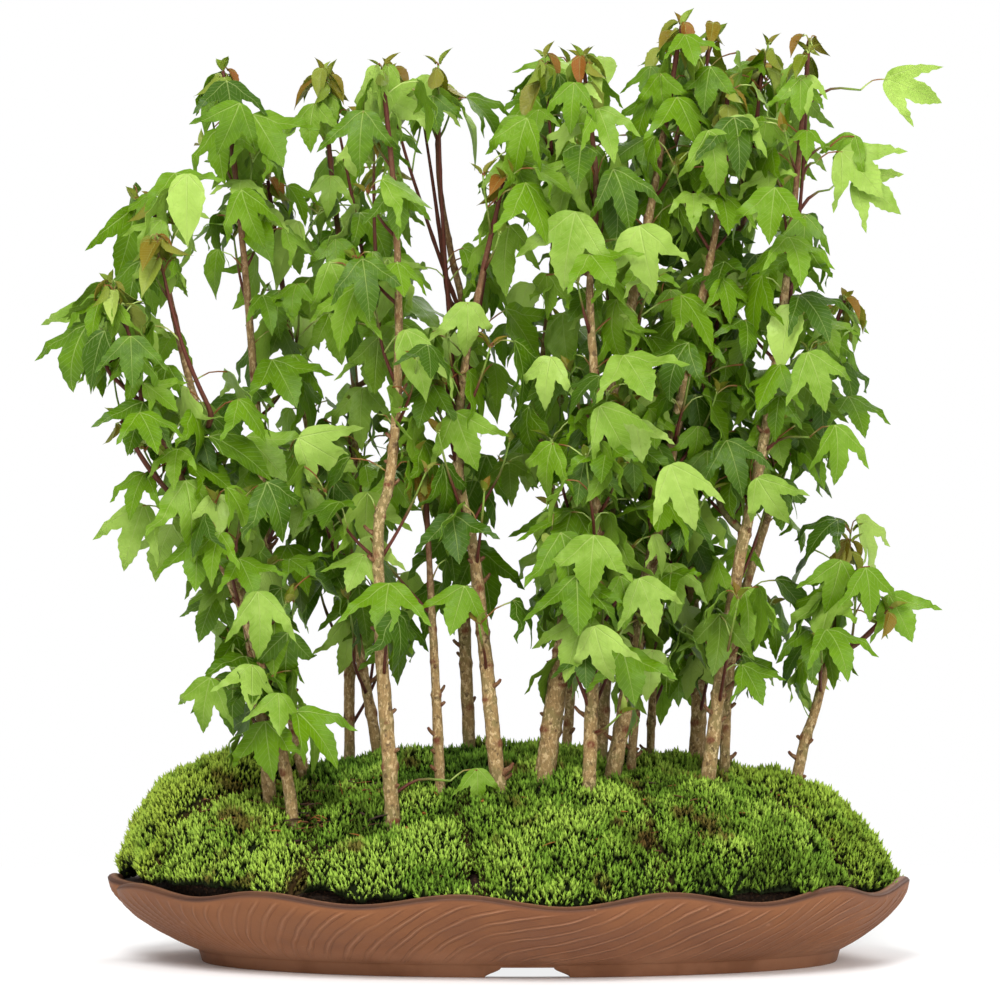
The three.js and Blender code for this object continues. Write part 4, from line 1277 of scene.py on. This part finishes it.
def show_leaves(grower, tree_list, crowns):
    """Sets the leaves that stand out in front, each on a twig of its own where no stem is near."""
    for x, y, z, size, swing, tint in SHOW_LEAVES:
        middle = mm(x, y, z)
        swing = math.radians(swing)
        tip = np.array([math.sin(swing), -0.18, -math.cos(swing)])
        tip /= np.linalg.norm(tip)
        size *= SHOW_SIZE
        base = np.array(middle) - tip * grower.looks.leaf_length * size * 0.5
        away, start, crown = reach_out(tree_list, crowns, base)
        if away > TWIG_FROM:
            side = (base - start) * (1, 1, 0)
            end = base - side / max(MM, np.linalg.norm(side)) * mm(15) - np.array([0, 0, mm(7)])
            knee = start * 0.55 + end * 0.45 + np.array([0, 0, 0.1 * away])
            twig = resample([start, knee, end], [mm(1.0), mm(0.8), mm(0.6)], TWIG_STEP)
            crown["twigs"].append(twig)
            start = twig.points[-1]
        grower.middles.append(np.array(middle))
        face = np.array([0.4 * math.sin(x), -1.0, 0.35 + 0.3 * math.sin(z)])
        kind = (0, 3, 1, 5)[len(grower.middles) % 4]
        grower.put(crown["foliage"], start, base, tip, face, size, tint * SHOW_TINT, 0.0, kind)


def fill_crown(grower, tree_list, crowns):
    """Adds twigs and leaves where the crown would show a gap that it should not."""
    pick = grower.random
    for _ in range(FILL_TRIES):
        x, z = pick.uniform(-258, 250), pick.uniform(78, 540)
        if not grower.seen_inside(x, z):
            continue
        seen = np.array([seen_from_front(middle, grower.stage) for middle in grower.middles])
        room = THIN_FILL_ROOM if THIN_FROM < x < THIN_TO else FILL_ROOM
        if np.hypot(seen[:, 0] - x, seen[:, 1] - z).min() < room:
            continue
        depth = pick.uniform(-95, 70)
        spread = 1 + depth / CAMERA_DISTANCE
        target = np.array([x * spread, depth, CAMERA_HEIGHT + (z - CAMERA_HEIGHT) * spread]) * MM
        away, start, crown = reach_out(tree_list, crowns, target, 6)
        if away > mm(78):
            continue
        out = math.atan2(target[1] - start[1], target[0] - start[0])
        flat = np.array([math.cos(out), math.sin(out), 0])
        end = target - flat * mm(20) + np.array([0, 0, mm(4)])
        if end[2] < start[2] + mm(4) or away < mm(26):
            grower.leaf(crown["foliage"], start, out, pick.uniform(0.7, 1.05))
            continue
        knee = start * 0.5 + end * 0.5 + np.array([0, 0, -0.06 * away])
        twig = resample([start, knee, end], [mm(1.0), mm(0.75), mm(0.55)], TWIG_STEP)
        kept = 0
        for side in (pick.gauss(0, 0.3), pick.gauss(1.5, 0.4), pick.gauss(-1.5, 0.4)):
            kept += grower.leaf(crown["foliage"], end, out + side, pick.uniform(0.66, 1.05))
        if kept:
            crown["twigs"].append(twig)
            grower.buds(crown["foliage"], twig, 2)


NODE_PITCH = mm(23)  # from one swollen node of a stem to the next


def bark_tube(build, stem, sides):
    """A stem's skin: uneven rings, swollen nodes and a flared foot."""
    count = len(stem.points)
    angles = np.arange(sides) / sides * 2 * math.pi
    scale = np.ones((count, sides))
    scars = np.zeros((count, sides))
    for i, (point, run) in enumerate(zip(stem.points, stem.run)):
        radius = stem.radii[i]
        if radius > mm(1.3):
            place = Vector(point) * 90
            for j, angle in enumerate(angles):
                step = Vector((math.cos(angle), math.sin(angle), 0)) * 0.6
                scale[i, j] += 0.12 * noise.noise(place + step) + 0.07 * noise.noise((place + step) * 3)
        shifted = run + mm(5) * math.sin(run * 60)
        node = math.exp(-((shifted % NODE_PITCH - NODE_PITCH / 2) / mm(1.7)) ** 2)
        turn = (shifted // NODE_PITCH) * 1.5 + point[0] * 40
        sides_of_node = np.abs(np.cos(angles - turn)) ** 5
        scale[i] += node * (0.08 + 0.2 * sides_of_node if radius > mm(1.5) else 0.22)
        scars[i] = node * (0.25 + 0.75 * sides_of_node)
    radii = stem.radii[:, None] * scale
    points, faces = tube(stem.points, radii, sides)
    age = np.repeat(np.clip((stem.radii - mm(0.6)) / mm(2.2), 0, 1), sides)
    low = np.repeat(np.exp(-np.maximum(0, stem.run - mm(22)) / mm(9)), sides) if sides > 8 else 0.0
    build.add(points, faces, age=age, scar=scars.ravel(), low=low)


def stub(build, stem, distance, angle, run):
    """A short cut-off twig on a stem."""
    at, _, radius = stem.at(distance)
    out = np.array([math.cos(angle), math.sin(angle), 0.55])
    path = smoothed(
        [at, at + out * (radius + run * 0.5), at + out * (radius + run) + np.array([0, 0, run * 0.3])], 5
    )
    thick = min(radius * 0.45, mm(1.35))
    points, faces = tube(path, thick * np.array([1.3, 1.15, 0.8, 0.75, 0.55]), 6)
    build.add(points, faces, age=0.6, scar=[0.45] * (len(points) - 6) + [1.0] * 6)


def build_grove(looks, stage):
    names = sorted(name for name in NODES if name.startswith("trunk_"))
    stems = [tree_stems(name) for name in names]
    grower = Grower(looks, stage, stems)
    shoots = [
        resample(np.array(points) * MM, np.linspace(mm(1.5), mm(0.6), len(points)), SHOOT_STEP)
        for points in SHOOTS
    ]
    owner = [nearest_tree(stems, shoot.points[0]) for shoot in shoots]
    leaf, bark = leaf_material(looks), bark_material(looks)
    outlines = [(LOBED_BLADE, 1.0)] * BUD_KIND + [(OVAL_BLADE, 0.5)] * (len(BLADE_SHAPES) - BUD_KIND)
    blades = [blade_mesh(f"blade_{i}", shape, *outlines[i]) for i, shape in enumerate(BLADE_SHAPES)]
    shapes = shape_collection("blades", blades)
    crowns = []
    for number, (name, tree) in enumerate(zip(names, stems)):
        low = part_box(name.replace("trunk", "crown"))[0].z
        own = [joined_shoot(tree, shoot) for shoot, owned in zip(shoots, owner) if owned == number]
        crowns.append({"name": name, "low": low, "foliage": Foliage(), "twigs": [], "shoots": own})
    show_leaves(grower, stems, crowns)
    for tree, crown in zip(stems, crowns):
        for index, stem in enumerate(tree):
            start = np.interp(crown["low"] + mm(8), stem.points[:, 2], stem.run) if index == 0 else mm(14)
            grow_along(grower, crown["foliage"], crown["twigs"], stem, start, 0.62, 0.15)
        for shoot in crown["shoots"]:
            grow_along(grower, crown["foliage"], crown["twigs"], shoot, shoot.length * 0.22, 0.12, 0.5)
    fill_crown(grower, stems, crowns)
    for tree, crown in zip(stems, crowns):
        build = Build("age", "scar", "low")
        for stems_of_kind, sides in ((tree, 14), (crown["shoots"], 8), (crown["twigs"], 6)):
            for stem in stems_of_kind:
                bark_tube(build, stem, sides)
        for _ in range(round(tree[0].length / mm(38))):
            where = tree[0].length * grower.random.uniform(0.1, 0.62)
            turn = grower.random.choice((0, math.pi)) + grower.random.gauss(0, 0.7)
            stub(build, tree[0], where, turn, mm(grower.random.triangular(0.6, 6, 1.4)))
        number = crown["name"][-2:]
        show(
            place_object("maple_stem_" + number, build.mesh("maple_stem_" + number), bark), "bark",
            crown["name"]
        )
        leaves = place_object("maple_leaves_" + number, crown["foliage"].mesh("maple_leaves_" + number))
        grow_with(leaves, shapes_on_points_tree(), Shapes=shapes, Size=looks.leaf_length, Material=leaf)
        show(leaves, "leaf", "crown_" + number)
    forget(shapes)


def nearest_tree(stems, point):
    away = [min(np.linalg.norm(stem.points - point, axis=1).min() for stem in tree) for tree in stems]
    return int(np.argmin(away))


def joined_shoot(tree, shoot):
    """A shoot carried down to the stem that bears it."""
    foot = shoot.points[0]
    below = tree[0].points[tree[0].points[:, 2] < foot[2] - mm(12)]
    start = below[np.linalg.norm(below - foot, axis=1).argmin()]
    middle = start * 0.45 + foot * 0.55 + (foot - start) * np.array([0.12, 0.12, -0.06])
    points = np.vstack([start, middle, shoot.points[:: max(1, len(shoot.points) // 6)], shoot.points[-1]])
    return resample(points, np.linspace(mm(1.7), mm(0.6), len(points)), SHOOT_STEP)


# ---- moss ----

# How sunny each cushion is, how fresh its green, and how far its middle stands up in mm.
CUSHION_TONES = {
    "moss_left_end": (
        0.55, 1.1, 10
    ), "moss_left_front": (0.2, 0.85, 2), "moss_front_left": (0.1, 0.45, 2),
    "moss_front_tuft": (0.05, 1.0, 5), "moss_centre_left": (0.0, 0.2, 0), "moss_centre_front": (
        0.12, 0.58, 2
    ),
    "moss_right_front": (
        0.12, 0.42, 2
    ), "moss_right_end": (0.35, 0.5, 4), "moss_back_left": (0.1, 0.35, 0),
    "moss_back_centre": (0.1, 0.4, 0), "moss_back_right": (0.15, 0.4, 0),
}


def sprout_mesh():
    """One sprout of moss, 1 high: a pointed stem of four sides with three small flared leaves."""
    build = Build("rise")
    ring = [(math.cos(a), math.sin(a)) for a in np.arange(4) / 4 * 2 * math.pi]
    foot = [(0.09 * x, 0.09 * y, 0.0) for x, y in ring]
    points = foot + [(0.13 * x, 0.13 * y, 0.6) for x, y in ring] + [(0, 0, 1.08)]
    faces = [(3, 2, 1, 0)] + [(j, (j + 1) % 4, 4 + (j + 1) % 4, 4 + j) for j in range(4)]
    faces += [(4 + j, 4 + (j + 1) % 4, 8) for j in range(4)]
    build.add(points, faces, rise=[0.0] * 4 + [0.5] * 4 + [1.0])
    for k in range(3):
        angle = k * 2.094 + 0.5
        out = np.array([math.cos(angle), math.sin(angle), 0])
        side = np.array([-out[1], out[0], 0]) * 0.08
        low = out * 0.07 + np.array([0, 0, 0.3 + 0.14 * k])
        leaf = [
            low - side, low + side, low + np.array([0, 0, 0.14]),
            out * 0.27 + np.array([0, 0, 0.68 + 0.12 * k])
        ]
        build.add(leaf, [(0, 2, 1), (0, 1, 3), (1, 2, 3), (2, 0, 3)], rise=[0.35, 0.35, 0.5, 0.9])
    mesh = build.mesh("sprout")
    flip_outwards(mesh)
    return mesh


def cushion_tree():
    """Swells a cushion into lumps and covers its upper side with sprouts."""
    if "moss cushion" in bpy.data.node_groups:
        return bpy.data.node_groups["moss cushion"]
    inputs = [
        ("Cushion", "Geometry"), ("Sprout", "Object"), ("Lump Height", "Float"), (
            "Sprout Height", "Float"
        ),
        ("Spacing", "Float"), ("Sun", "Float"), ("Fresh", "Float"), ("Seed", "Int"), (
            "Material", "Material"
        ),
    ]
    tree, graph, start, end = new_geometry_tree("moss cushion", inputs)
    base, sprout, lump, tall, spacing, sun, fresh, seed, material = (start.outputs[i] for i in range(9))
    place = graph.add("GeometryNodeInputPosition")
    normal = graph.add("GeometryNodeInputNormal")
    wide = graph.minus(graph.noise(place, 45.0, 3.0), 0.47)
    near = graph.times(graph.minus(graph.noise(place, 130.0, 2.0), 0.5), 0.45)
    swell = graph.times(graph.plus(wide, near), graph.times(lump, 2.4))
    shift = graph.add("ShaderNodeVectorMath", normal, named={"Scale": swell}, operation="SCALE")
    body = graph.add("GeometryNodeSetPosition", base, named={"Offset": shift.outputs[0]})
    up = graph.add("ShaderNodeSeparateXYZ", graph.add("GeometryNodeInputNormal")).outputs[2]
    spread = graph.add("GeometryNodeDistributePointsOnFaces", distribute_method="POISSON")
    for key, value in (
        ("Mesh", body), ("Selection", graph.math("GREATER_THAN", up, -0.96)), ("Distance Min", spacing),
        ("Density Max", graph.math("DIVIDE", 1.1, graph.times(spacing, spacing))), ("Seed", seed),
    ):
        graph.feed(value, spread.inputs[key])
    patch = graph.noise(graph.add("GeometryNodeInputPosition"), 34.0, 3.0)
    bare = graph.add("ShaderNodeMapRange", patch, 0.3, 0.4, 0.25, 1.0)
    border = stored(graph, "border", "FLOAT")
    thin = graph.add("ShaderNodeMapRange", border, 0.0, 1.0, 1.0, 0.8)
    graph.feed(graph.times(bare, thin), spread.inputs["Density Factor"])
    lean = graph.add("FunctionNodeRandomValue", data_type="FLOAT_VECTOR")
    graph.feed((-0.26, -0.26, 0.9), lean.inputs[0])
    graph.feed((0.26, 0.26, 1.1), lean.inputs[1])
    out = graph.add("ShaderNodeVectorMath", spread.outputs[1], named={"Scale": 0.5}, operation="SCALE")
    aim = graph.add("ShaderNodeVectorMath", lean, out.outputs[0], operation="ADD")
    align = graph.add("FunctionNodeAlignRotationToVector", axis="Z", named={"Vector": aim.outputs[0]})
    spin = graph.add("FunctionNodeRandomValue", data_type="FLOAT", named={"Max": 6.28})
    about = graph.add("ShaderNodeCombineXYZ", 0.0, 0.0, spin.outputs[1])
    turned = graph.add(
        "FunctionNodeRotateRotation", align, graph.add("FunctionNodeEulerToRotation", about),
        rotation_space="LOCAL"
    )
    size = graph.add("FunctionNodeRandomValue", data_type="FLOAT")
    graph.feed(0.62, size.inputs[2])
    graph.feed(1.25, size.inputs[3])
    lumps = graph.add("ShaderNodeMapRange", graph.noise(place, 60.0, 2.0), 0.35, 0.65, 0.75, 1.15)
    low = graph.add("ShaderNodeMapRange", border, 0.0, 1.0, 1.0, 0.65)
    size = graph.times(graph.times(size.outputs[1], tall), graph.times(lumps, low))
    tint = graph.add("FunctionNodeRandomValue", data_type="FLOAT")
    graph.feed(-0.85, tint.inputs[2])
    graph.feed(-0.35, tint.inputs[3])
    patches = graph.add("ShaderNodeMapRange", graph.noise(place, 26.0, 3.0), 0.35, 0.65, 0.05, 1.05)
    # Painted light and shade: the tint follows the lumps' swell, lighter on their tops and darker in their
    # hollows.
    lump_shade = graph.add("ShaderNodeMapRange", graph.noise(place, 45.0, 3.0), 0.38, 0.6, -0.45, 0.4)
    tint = graph.plus(graph.plus(tint.outputs[1], patches), lump_shade)
    points = spread.outputs[0]
    for name, value in (("tint", graph.plus(tint, fresh)), ("sun", sun)):
        points = graph.add(
            "GeometryNodeStoreNamedAttribute", points, named={"Name": name, "Value": value},
            data_type="FLOAT"
        )
    shape = graph.add("GeometryNodeObjectInfo", sprout)
    copies = graph.add("GeometryNodeInstanceOnPoints")
    for key, value in (
        ("Points", points), ("Instance", shape.outputs["Geometry"]), ("Rotation", turned), ("Scale", size)
    ):
        graph.feed(value, copies.inputs[key])
    joined = graph.add("GeometryNodeJoinGeometry", graph.add("GeometryNodeRealizeInstances", copies))
    graph.feed(body, joined.inputs[0])
    painted = graph.add("GeometryNodeSetMaterial", joined, None, material)
    graph.feed(painted, end.inputs[0])
    return tree


def merged_copy(node, name):
    """A frame node's mesh as a new object, with its loose triangles joined."""
    mesh = node.data.copy()
    shape = bmesh.new()
    shape.from_mesh(mesh)
    bmesh.ops.remove_doubles(shape, verts=shape.verts, dist=1e-6)
    shape.to_mesh(mesh)
    shape.free()
    mesh.name = name
    return place_object(name, mesh)


# Where the moss spills over, as shares of the way out to the rim, and how much it sinks there.
SPILL_FROM, SPILL_OVER, SPILL_SINK = 0.7, 0.2, mm(2.6)
# At the right end it spills less: from here along X, over this far, and by this share.
END_FROM, END_OVER, END_LESS = 0.175, 0.04, 0.75
BORDER_WIDTH = mm(4)
CUSHION_GRAIN = mm(2.2)


def spill_out(cushion, share, rise):
    """Raises a cushion's middle, and draws its outer part out towards the rim of the tray."""
    points = np.array([vertex.co for vertex in cushion.data.vertices])
    low, high = points.min(0), points.max(0)
    off = (2 * points - low - high)[:, :2] / (high - low)[:2]
    points[:, 2] += rise * np.clip(1 - off[:, 0] ** 2 - off[:, 1] ** 2, 0, 1)
    flat = points[:, :2] - (TRAY_SHIFT, 0)
    reach = np.hypot(flat[:, 0] / (RIM_LENGTH / 2), flat[:, 1] / (RIM_DEPTH / 2))
    t = np.clip((reach - SPILL_FROM) / SPILL_OVER, 0, 1)
    out = share * t * t * (3 - 2 * t) * (
        1 - END_LESS * np.clip((points[:, 0] - END_FROM) / END_OVER, 0, 1)
    )
    points[:, :2] += flat * (out / np.maximum(reach, 0.01))[:, None]
    points[:, 2] -= SPILL_SINK * t
    cushion.data.vertices.foreach_set("co", points.ravel())


def mark_border(cushion, own_name):
    """Marks a cushion's points from 0 to 1 by how near they are to the cushions beside it."""
    beside = surface_of(name for name in NODES_OF_MOSS if name != own_name)
    gaps = np.array([beside.find_nearest(vertex.co)[3] for vertex in cushion.data.vertices])
    mark = cushion.data.attributes.new("border", "FLOAT", "POINT")
    mark.data.foreach_set("value", np.exp(-((gaps / BORDER_WIDTH) ** 2)))


def surface_of(names):
    """The surface of some of the frame's nodes, for rays and nearest points."""
    build = Build()
    for name in names:
        mesh = NODES[name].data
        build.add([vertex.co for vertex in mesh.vertices], [face.vertices[:] for face in mesh.polygons])
    return BVHTree.FromPolygons(build.points, build.faces)


def build_moss(looks):
    material = moss_material(looks)
    sprout = bpy.data.objects.new("sprout", sprout_mesh())
    for seed, name in enumerate(sorted(NODES_OF_MOSS)):
        cushion = merged_copy(NODES[name], name + "_cushion")
        remesh = cushion.modifiers.new("even", "REMESH")
        remesh.mode = "VOXEL"
        remesh.voxel_size = CUSHION_GRAIN
        remesh.use_smooth_shade = True
        soften = cushion.modifiers.new("soften", "SMOOTH")
        soften.factor = 0.6
        soften.iterations = 8
        settle(cushion)
        mark_border(cushion, name)
        sun, fresh, rise = CUSHION_TONES[name]
        spill_out(cushion, looks.spill, mm(rise))
        grow_with(
            cushion, cushion_tree(), Sprout=sprout,
            Lump_Height=looks.lump_height, Sprout_Height=looks.sprout_height,
            Spacing=looks.sprout_spacing, Sun=sun, Fresh=fresh, Seed=seed, Material=material,
        )
        show(cushion, "moss", name)
    mesh = sprout.data
    bpy.data.objects.remove(sprout)
    bpy.data.meshes.remove(mesh)


def litter_material(moss):
    """Fallen leaf bits and needles: brown to orange."""
    finish = Finish("litter", Specular_IOR_Level=0.25)
    tint = finish.read("tint")
    base = finish.mix(finish.between(tint, 0.0, 0.6), moss.soil, moss.brown)
    base = finish.mix(finish.between(tint, 0.6, 1.0), base, paint(150, 92, 42))
    return finish.finish(base, 0.8)


LITTER_COUNT = 300


def build_litter(moss):
    """Flakes of old leaf and needles that lie on the moss, most of them near the front edge."""
    pick = random.Random(5)
    surface = surface_of(NODES_OF_MOSS)
    build = Build("tint")
    for _ in range(LITTER_COUNT):
        front, left, more_left = pick.uniform(200, 345), pick.gauss(232, 7), pick.gauss(213, 7)
        angle = math.radians(pick.choice((front, left, more_left, pick.uniform(0, 360))))
        reach = pick.triangular(0.35, 0.9, 0.88)
        x = TRAY_SHIFT + reach * RIM_LENGTH / 2 * math.cos(angle)
        y = reach * RIM_DEPTH / 2 * math.sin(angle)
        hit, *_ = surface.ray_cast(Vector((x, y, 0.3)), Vector((0, 0, -1)))
        if hit is None:
            continue
        at = np.array(hit) + np.array([0, 0, mm(pick.uniform(3.5, 6.5))])
        way = np.array([pick.gauss(0, 1), pick.gauss(0, 1), pick.gauss(0, 0.35)])
        way /= np.linalg.norm(way)
        run = mm(pick.uniform(2.5, 8))
        lift = np.array([0, 0, run * pick.uniform(-0.2, 0.3)])
        path = smoothed([at - way * run, at + lift, at + way * run], 5)
        wide = pick.choice((0.25, 0.35, 0.9, 1.4)) * MM
        points, faces = tube(path, np.array([0.4, 0.9, 1, 0.8, 0.3]) * wide, 5)
        if wide > mm(0.5):
            middle = path.mean(0)
            points = middle + (points - middle) * (1, 1, 0.4)
        build.add(points, faces, tint=pick.random())
    return show(place_object("leaf_litter", build.mesh("leaf_litter"), litter_material(moss)), "bark")


# ---- the frame's own pieces ----


def finish_frame_pieces(moss):
    """Gives the frame's own pieces their materials."""
    finishes = {
        "soil": ground_material("soil", moss.soil, paint(92, 64, 42), mm(2.2), 0.95),
        "drainage_grit": ground_material(
            "grit", paint(150, 136, 108), paint(196, 184, 158), mm(3.5), 0.9
        ),
        "drain_screen": plain_material("mesh_plastic", paint(34, 38, 40), 0.55),
        "screen_clip": plain_material("copper_wire", paint(186, 128, 92), 0.4, 1.0),
    }
    for prefix, material in finishes.items():
        for name, node in NODES.items():
            if name.startswith(prefix):
                node.data.materials.clear()
                node.data.materials.append(material)


# ---- the stage ----


FLOOR_CORNERS = ((-12.0, -12.0), (12.0, -12.0), (12.0, 12.0), (-12.0, 12.0))
LIT_PLACE = Vector((0, 0, 0.3))  # what the lights point at


def build_stage(looks):
    scene = bpy.context.scene
    mesh = bpy.data.meshes.new("floor")
    mesh.from_pydata([(x, y, 0) for x, y in FLOOR_CORNERS], [], [(0, 1, 2, 3)])
    finish = Finish("floor", Specular_IOR_Level=0.1)
    finish.finish(looks.floor, 0.9)
    away = finish.add("ShaderNodeVectorMath", finish.object_place, operation="LENGTH").outputs["Value"]
    # Painted light: a patch under the tray glows white to the camera, so the shadow under it shows white
    # through the gap in the foot. Further out the floor glows evenly white.
    beside = finish.add("ShaderNodeVectorMath", finish.object_place, (-0.011, 0, 0), operation="ADD")
    flat = finish.stretched(beside.outputs[0], 1 / 0.176, 1 / 0.096, 1.0)
    under = finish.add("ShaderNodeVectorMath", flat, operation="LENGTH")
    lit = finish.math(
        "MAXIMUM", finish.between(away, 0.25, 0.75),
        finish.between(under.outputs["Value"], 1.0, 0.94, 0.0, 0.85)
    )
    far = finish.times(lit, finish.add("ShaderNodeLightPath").outputs[0])
    glow = finish.add("ShaderNodeEmission", (1, 1, 1), 1.0)
    both = finish.add("ShaderNodeMixShader", far, finish.shader, glow)
    finish.feed(both, finish.tree.nodes["Material Output"].inputs["Surface"])
    floor = place_object("floor", mesh, finish.material)
    world = bpy.data.worlds.new("studio")
    scene.world = world
    world.use_nodes = True
    graph = Graph(world.node_tree)
    sky = world.node_tree.nodes["Background"]
    sky.inputs["Color"].default_value = (1, 1, 1, 1)
    strength = graph.mix(
        graph.add("ShaderNodeLightPath").outputs["Is Camera Ray"], (0.62,) * 3, (1.0,) * 3
    )
    graph.feed(strength, sky.inputs["Color"])
    sky.inputs["Strength"].default_value = 1.0
    lights = [
        ("key", (-0.5, -1.8, 2.0), 1.3, 64.0),
        ("fill", (1.5, -1.9, 1.0), 1.6, 29.0),
        ("back", (0.6, 1.8, 1.9), 1.4, 30.0),
    ]
    for name, place, size, power in lights:
        light = bpy.data.lights.new(name, "AREA")
        light.size = size
        light.energy = power
        lamp = bpy.data.objects.new(name, light)
        scene.collection.objects.link(lamp)
        lamp.location = place
        lamp.rotation_euler = (LIT_PLACE - Vector(place)).to_track_quat("-Z", "Y").to_euler()
    camera = bpy.data.cameras.new("camera")
    camera.lens = looks.lens
    camera.sensor_width = 36.0
    camera.clip_start = 0.05
    camera.clip_end = 60.0
    view = bpy.data.objects.new("camera", camera)
    scene.collection.objects.link(view)
    view.location = (0, -looks.distance, looks.height)
    view.rotation_euler = (math.pi / 2, 0, 0)
    scene.camera = view
    scene.view_settings.view_transform = "Standard"


# ---- operators ----


class GROVE_OT_tray(bpy.types.Operator):
    """Build the clay tray with its veined wall"""

    bl_idname = "grove.tray"
    bl_label = "Clay tray"

    def execute(self, context):
        build_tray(context.scene.grove_tray)
        return {"FINISHED"}


class GROVE_OT_ground(bpy.types.Operator):
    """Finish the soil, grit, screens and clips"""

    bl_idname = "grove.ground"
    bl_label = "Soil and drainage"

    def execute(self, context):
        finish_frame_pieces(context.scene.grove_moss)
        return {"FINISHED"}


class GROVE_OT_moss(bpy.types.Operator):
    """Grow the moss cushions"""

    bl_idname = "grove.moss"
    bl_label = "Moss cushions"

    def execute(self, context):
        build_moss(context.scene.grove_moss)
        build_litter(context.scene.grove_moss)
        return {"FINISHED"}


class GROVE_OT_maples(bpy.types.Operator):
    """Grow the maples' bark, twigs and leaves"""

    bl_idname = "grove.maples"
    bl_label = "Maples"

    def execute(self, context):
        build_grove(context.scene.grove_maples, context.scene.grove_stage)
        return {"FINISHED"}


class GROVE_OT_stage(bpy.types.Operator):
    """Set up the floor, the lights and the camera"""

    bl_idname = "grove.stage"
    bl_label = "Stage"

    def execute(self, context):
        build_stage(context.scene.grove_stage)
        return {"FINISHED"}


class GROVE_PT_panel(bpy.types.Panel):
    """Lists the steps that build the grove."""

    bl_idname = "GROVE_PT_panel"
    bl_label = "Maple Grove"
    bl_space_type = "VIEW_3D"
    bl_region_type = "UI"
    bl_category = "Maple Grove"

    def draw(self, context):
        for operator in STEPS:
            self.layout.operator(operator.bl_idname)


STEPS = (GROVE_OT_stage, GROVE_OT_tray, GROVE_OT_ground, GROVE_OT_moss, GROVE_OT_maples)
LOOKS = {
    "grove_tray": TrayLooks, "grove_moss": MossLooks, "grove_maples": GroveLooks,
    "grove_stage": StageLooks
}


def register():
    for kind in (*LOOKS.values(), *STEPS, GROVE_PT_panel):
        bpy.utils.register_class(kind)
    for name, kind in LOOKS.items():
        setattr(bpy.types.Scene, name, bpy.props.PointerProperty(type=kind))


def unregister():
    for name in LOOKS:
        delattr(bpy.types.Scene, name)
    for kind in reversed((*LOOKS.values(), *STEPS, GROVE_PT_panel)):
        bpy.utils.unregister_class(kind)


def main():
    register()
    bpy.ops.grove.stage()
    bpy.ops.grove.tray()
    bpy.ops.grove.ground()
    bpy.ops.grove.moss()
    bpy.ops.grove.maples()
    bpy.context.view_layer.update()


if __name__ == "__main__":
    main()
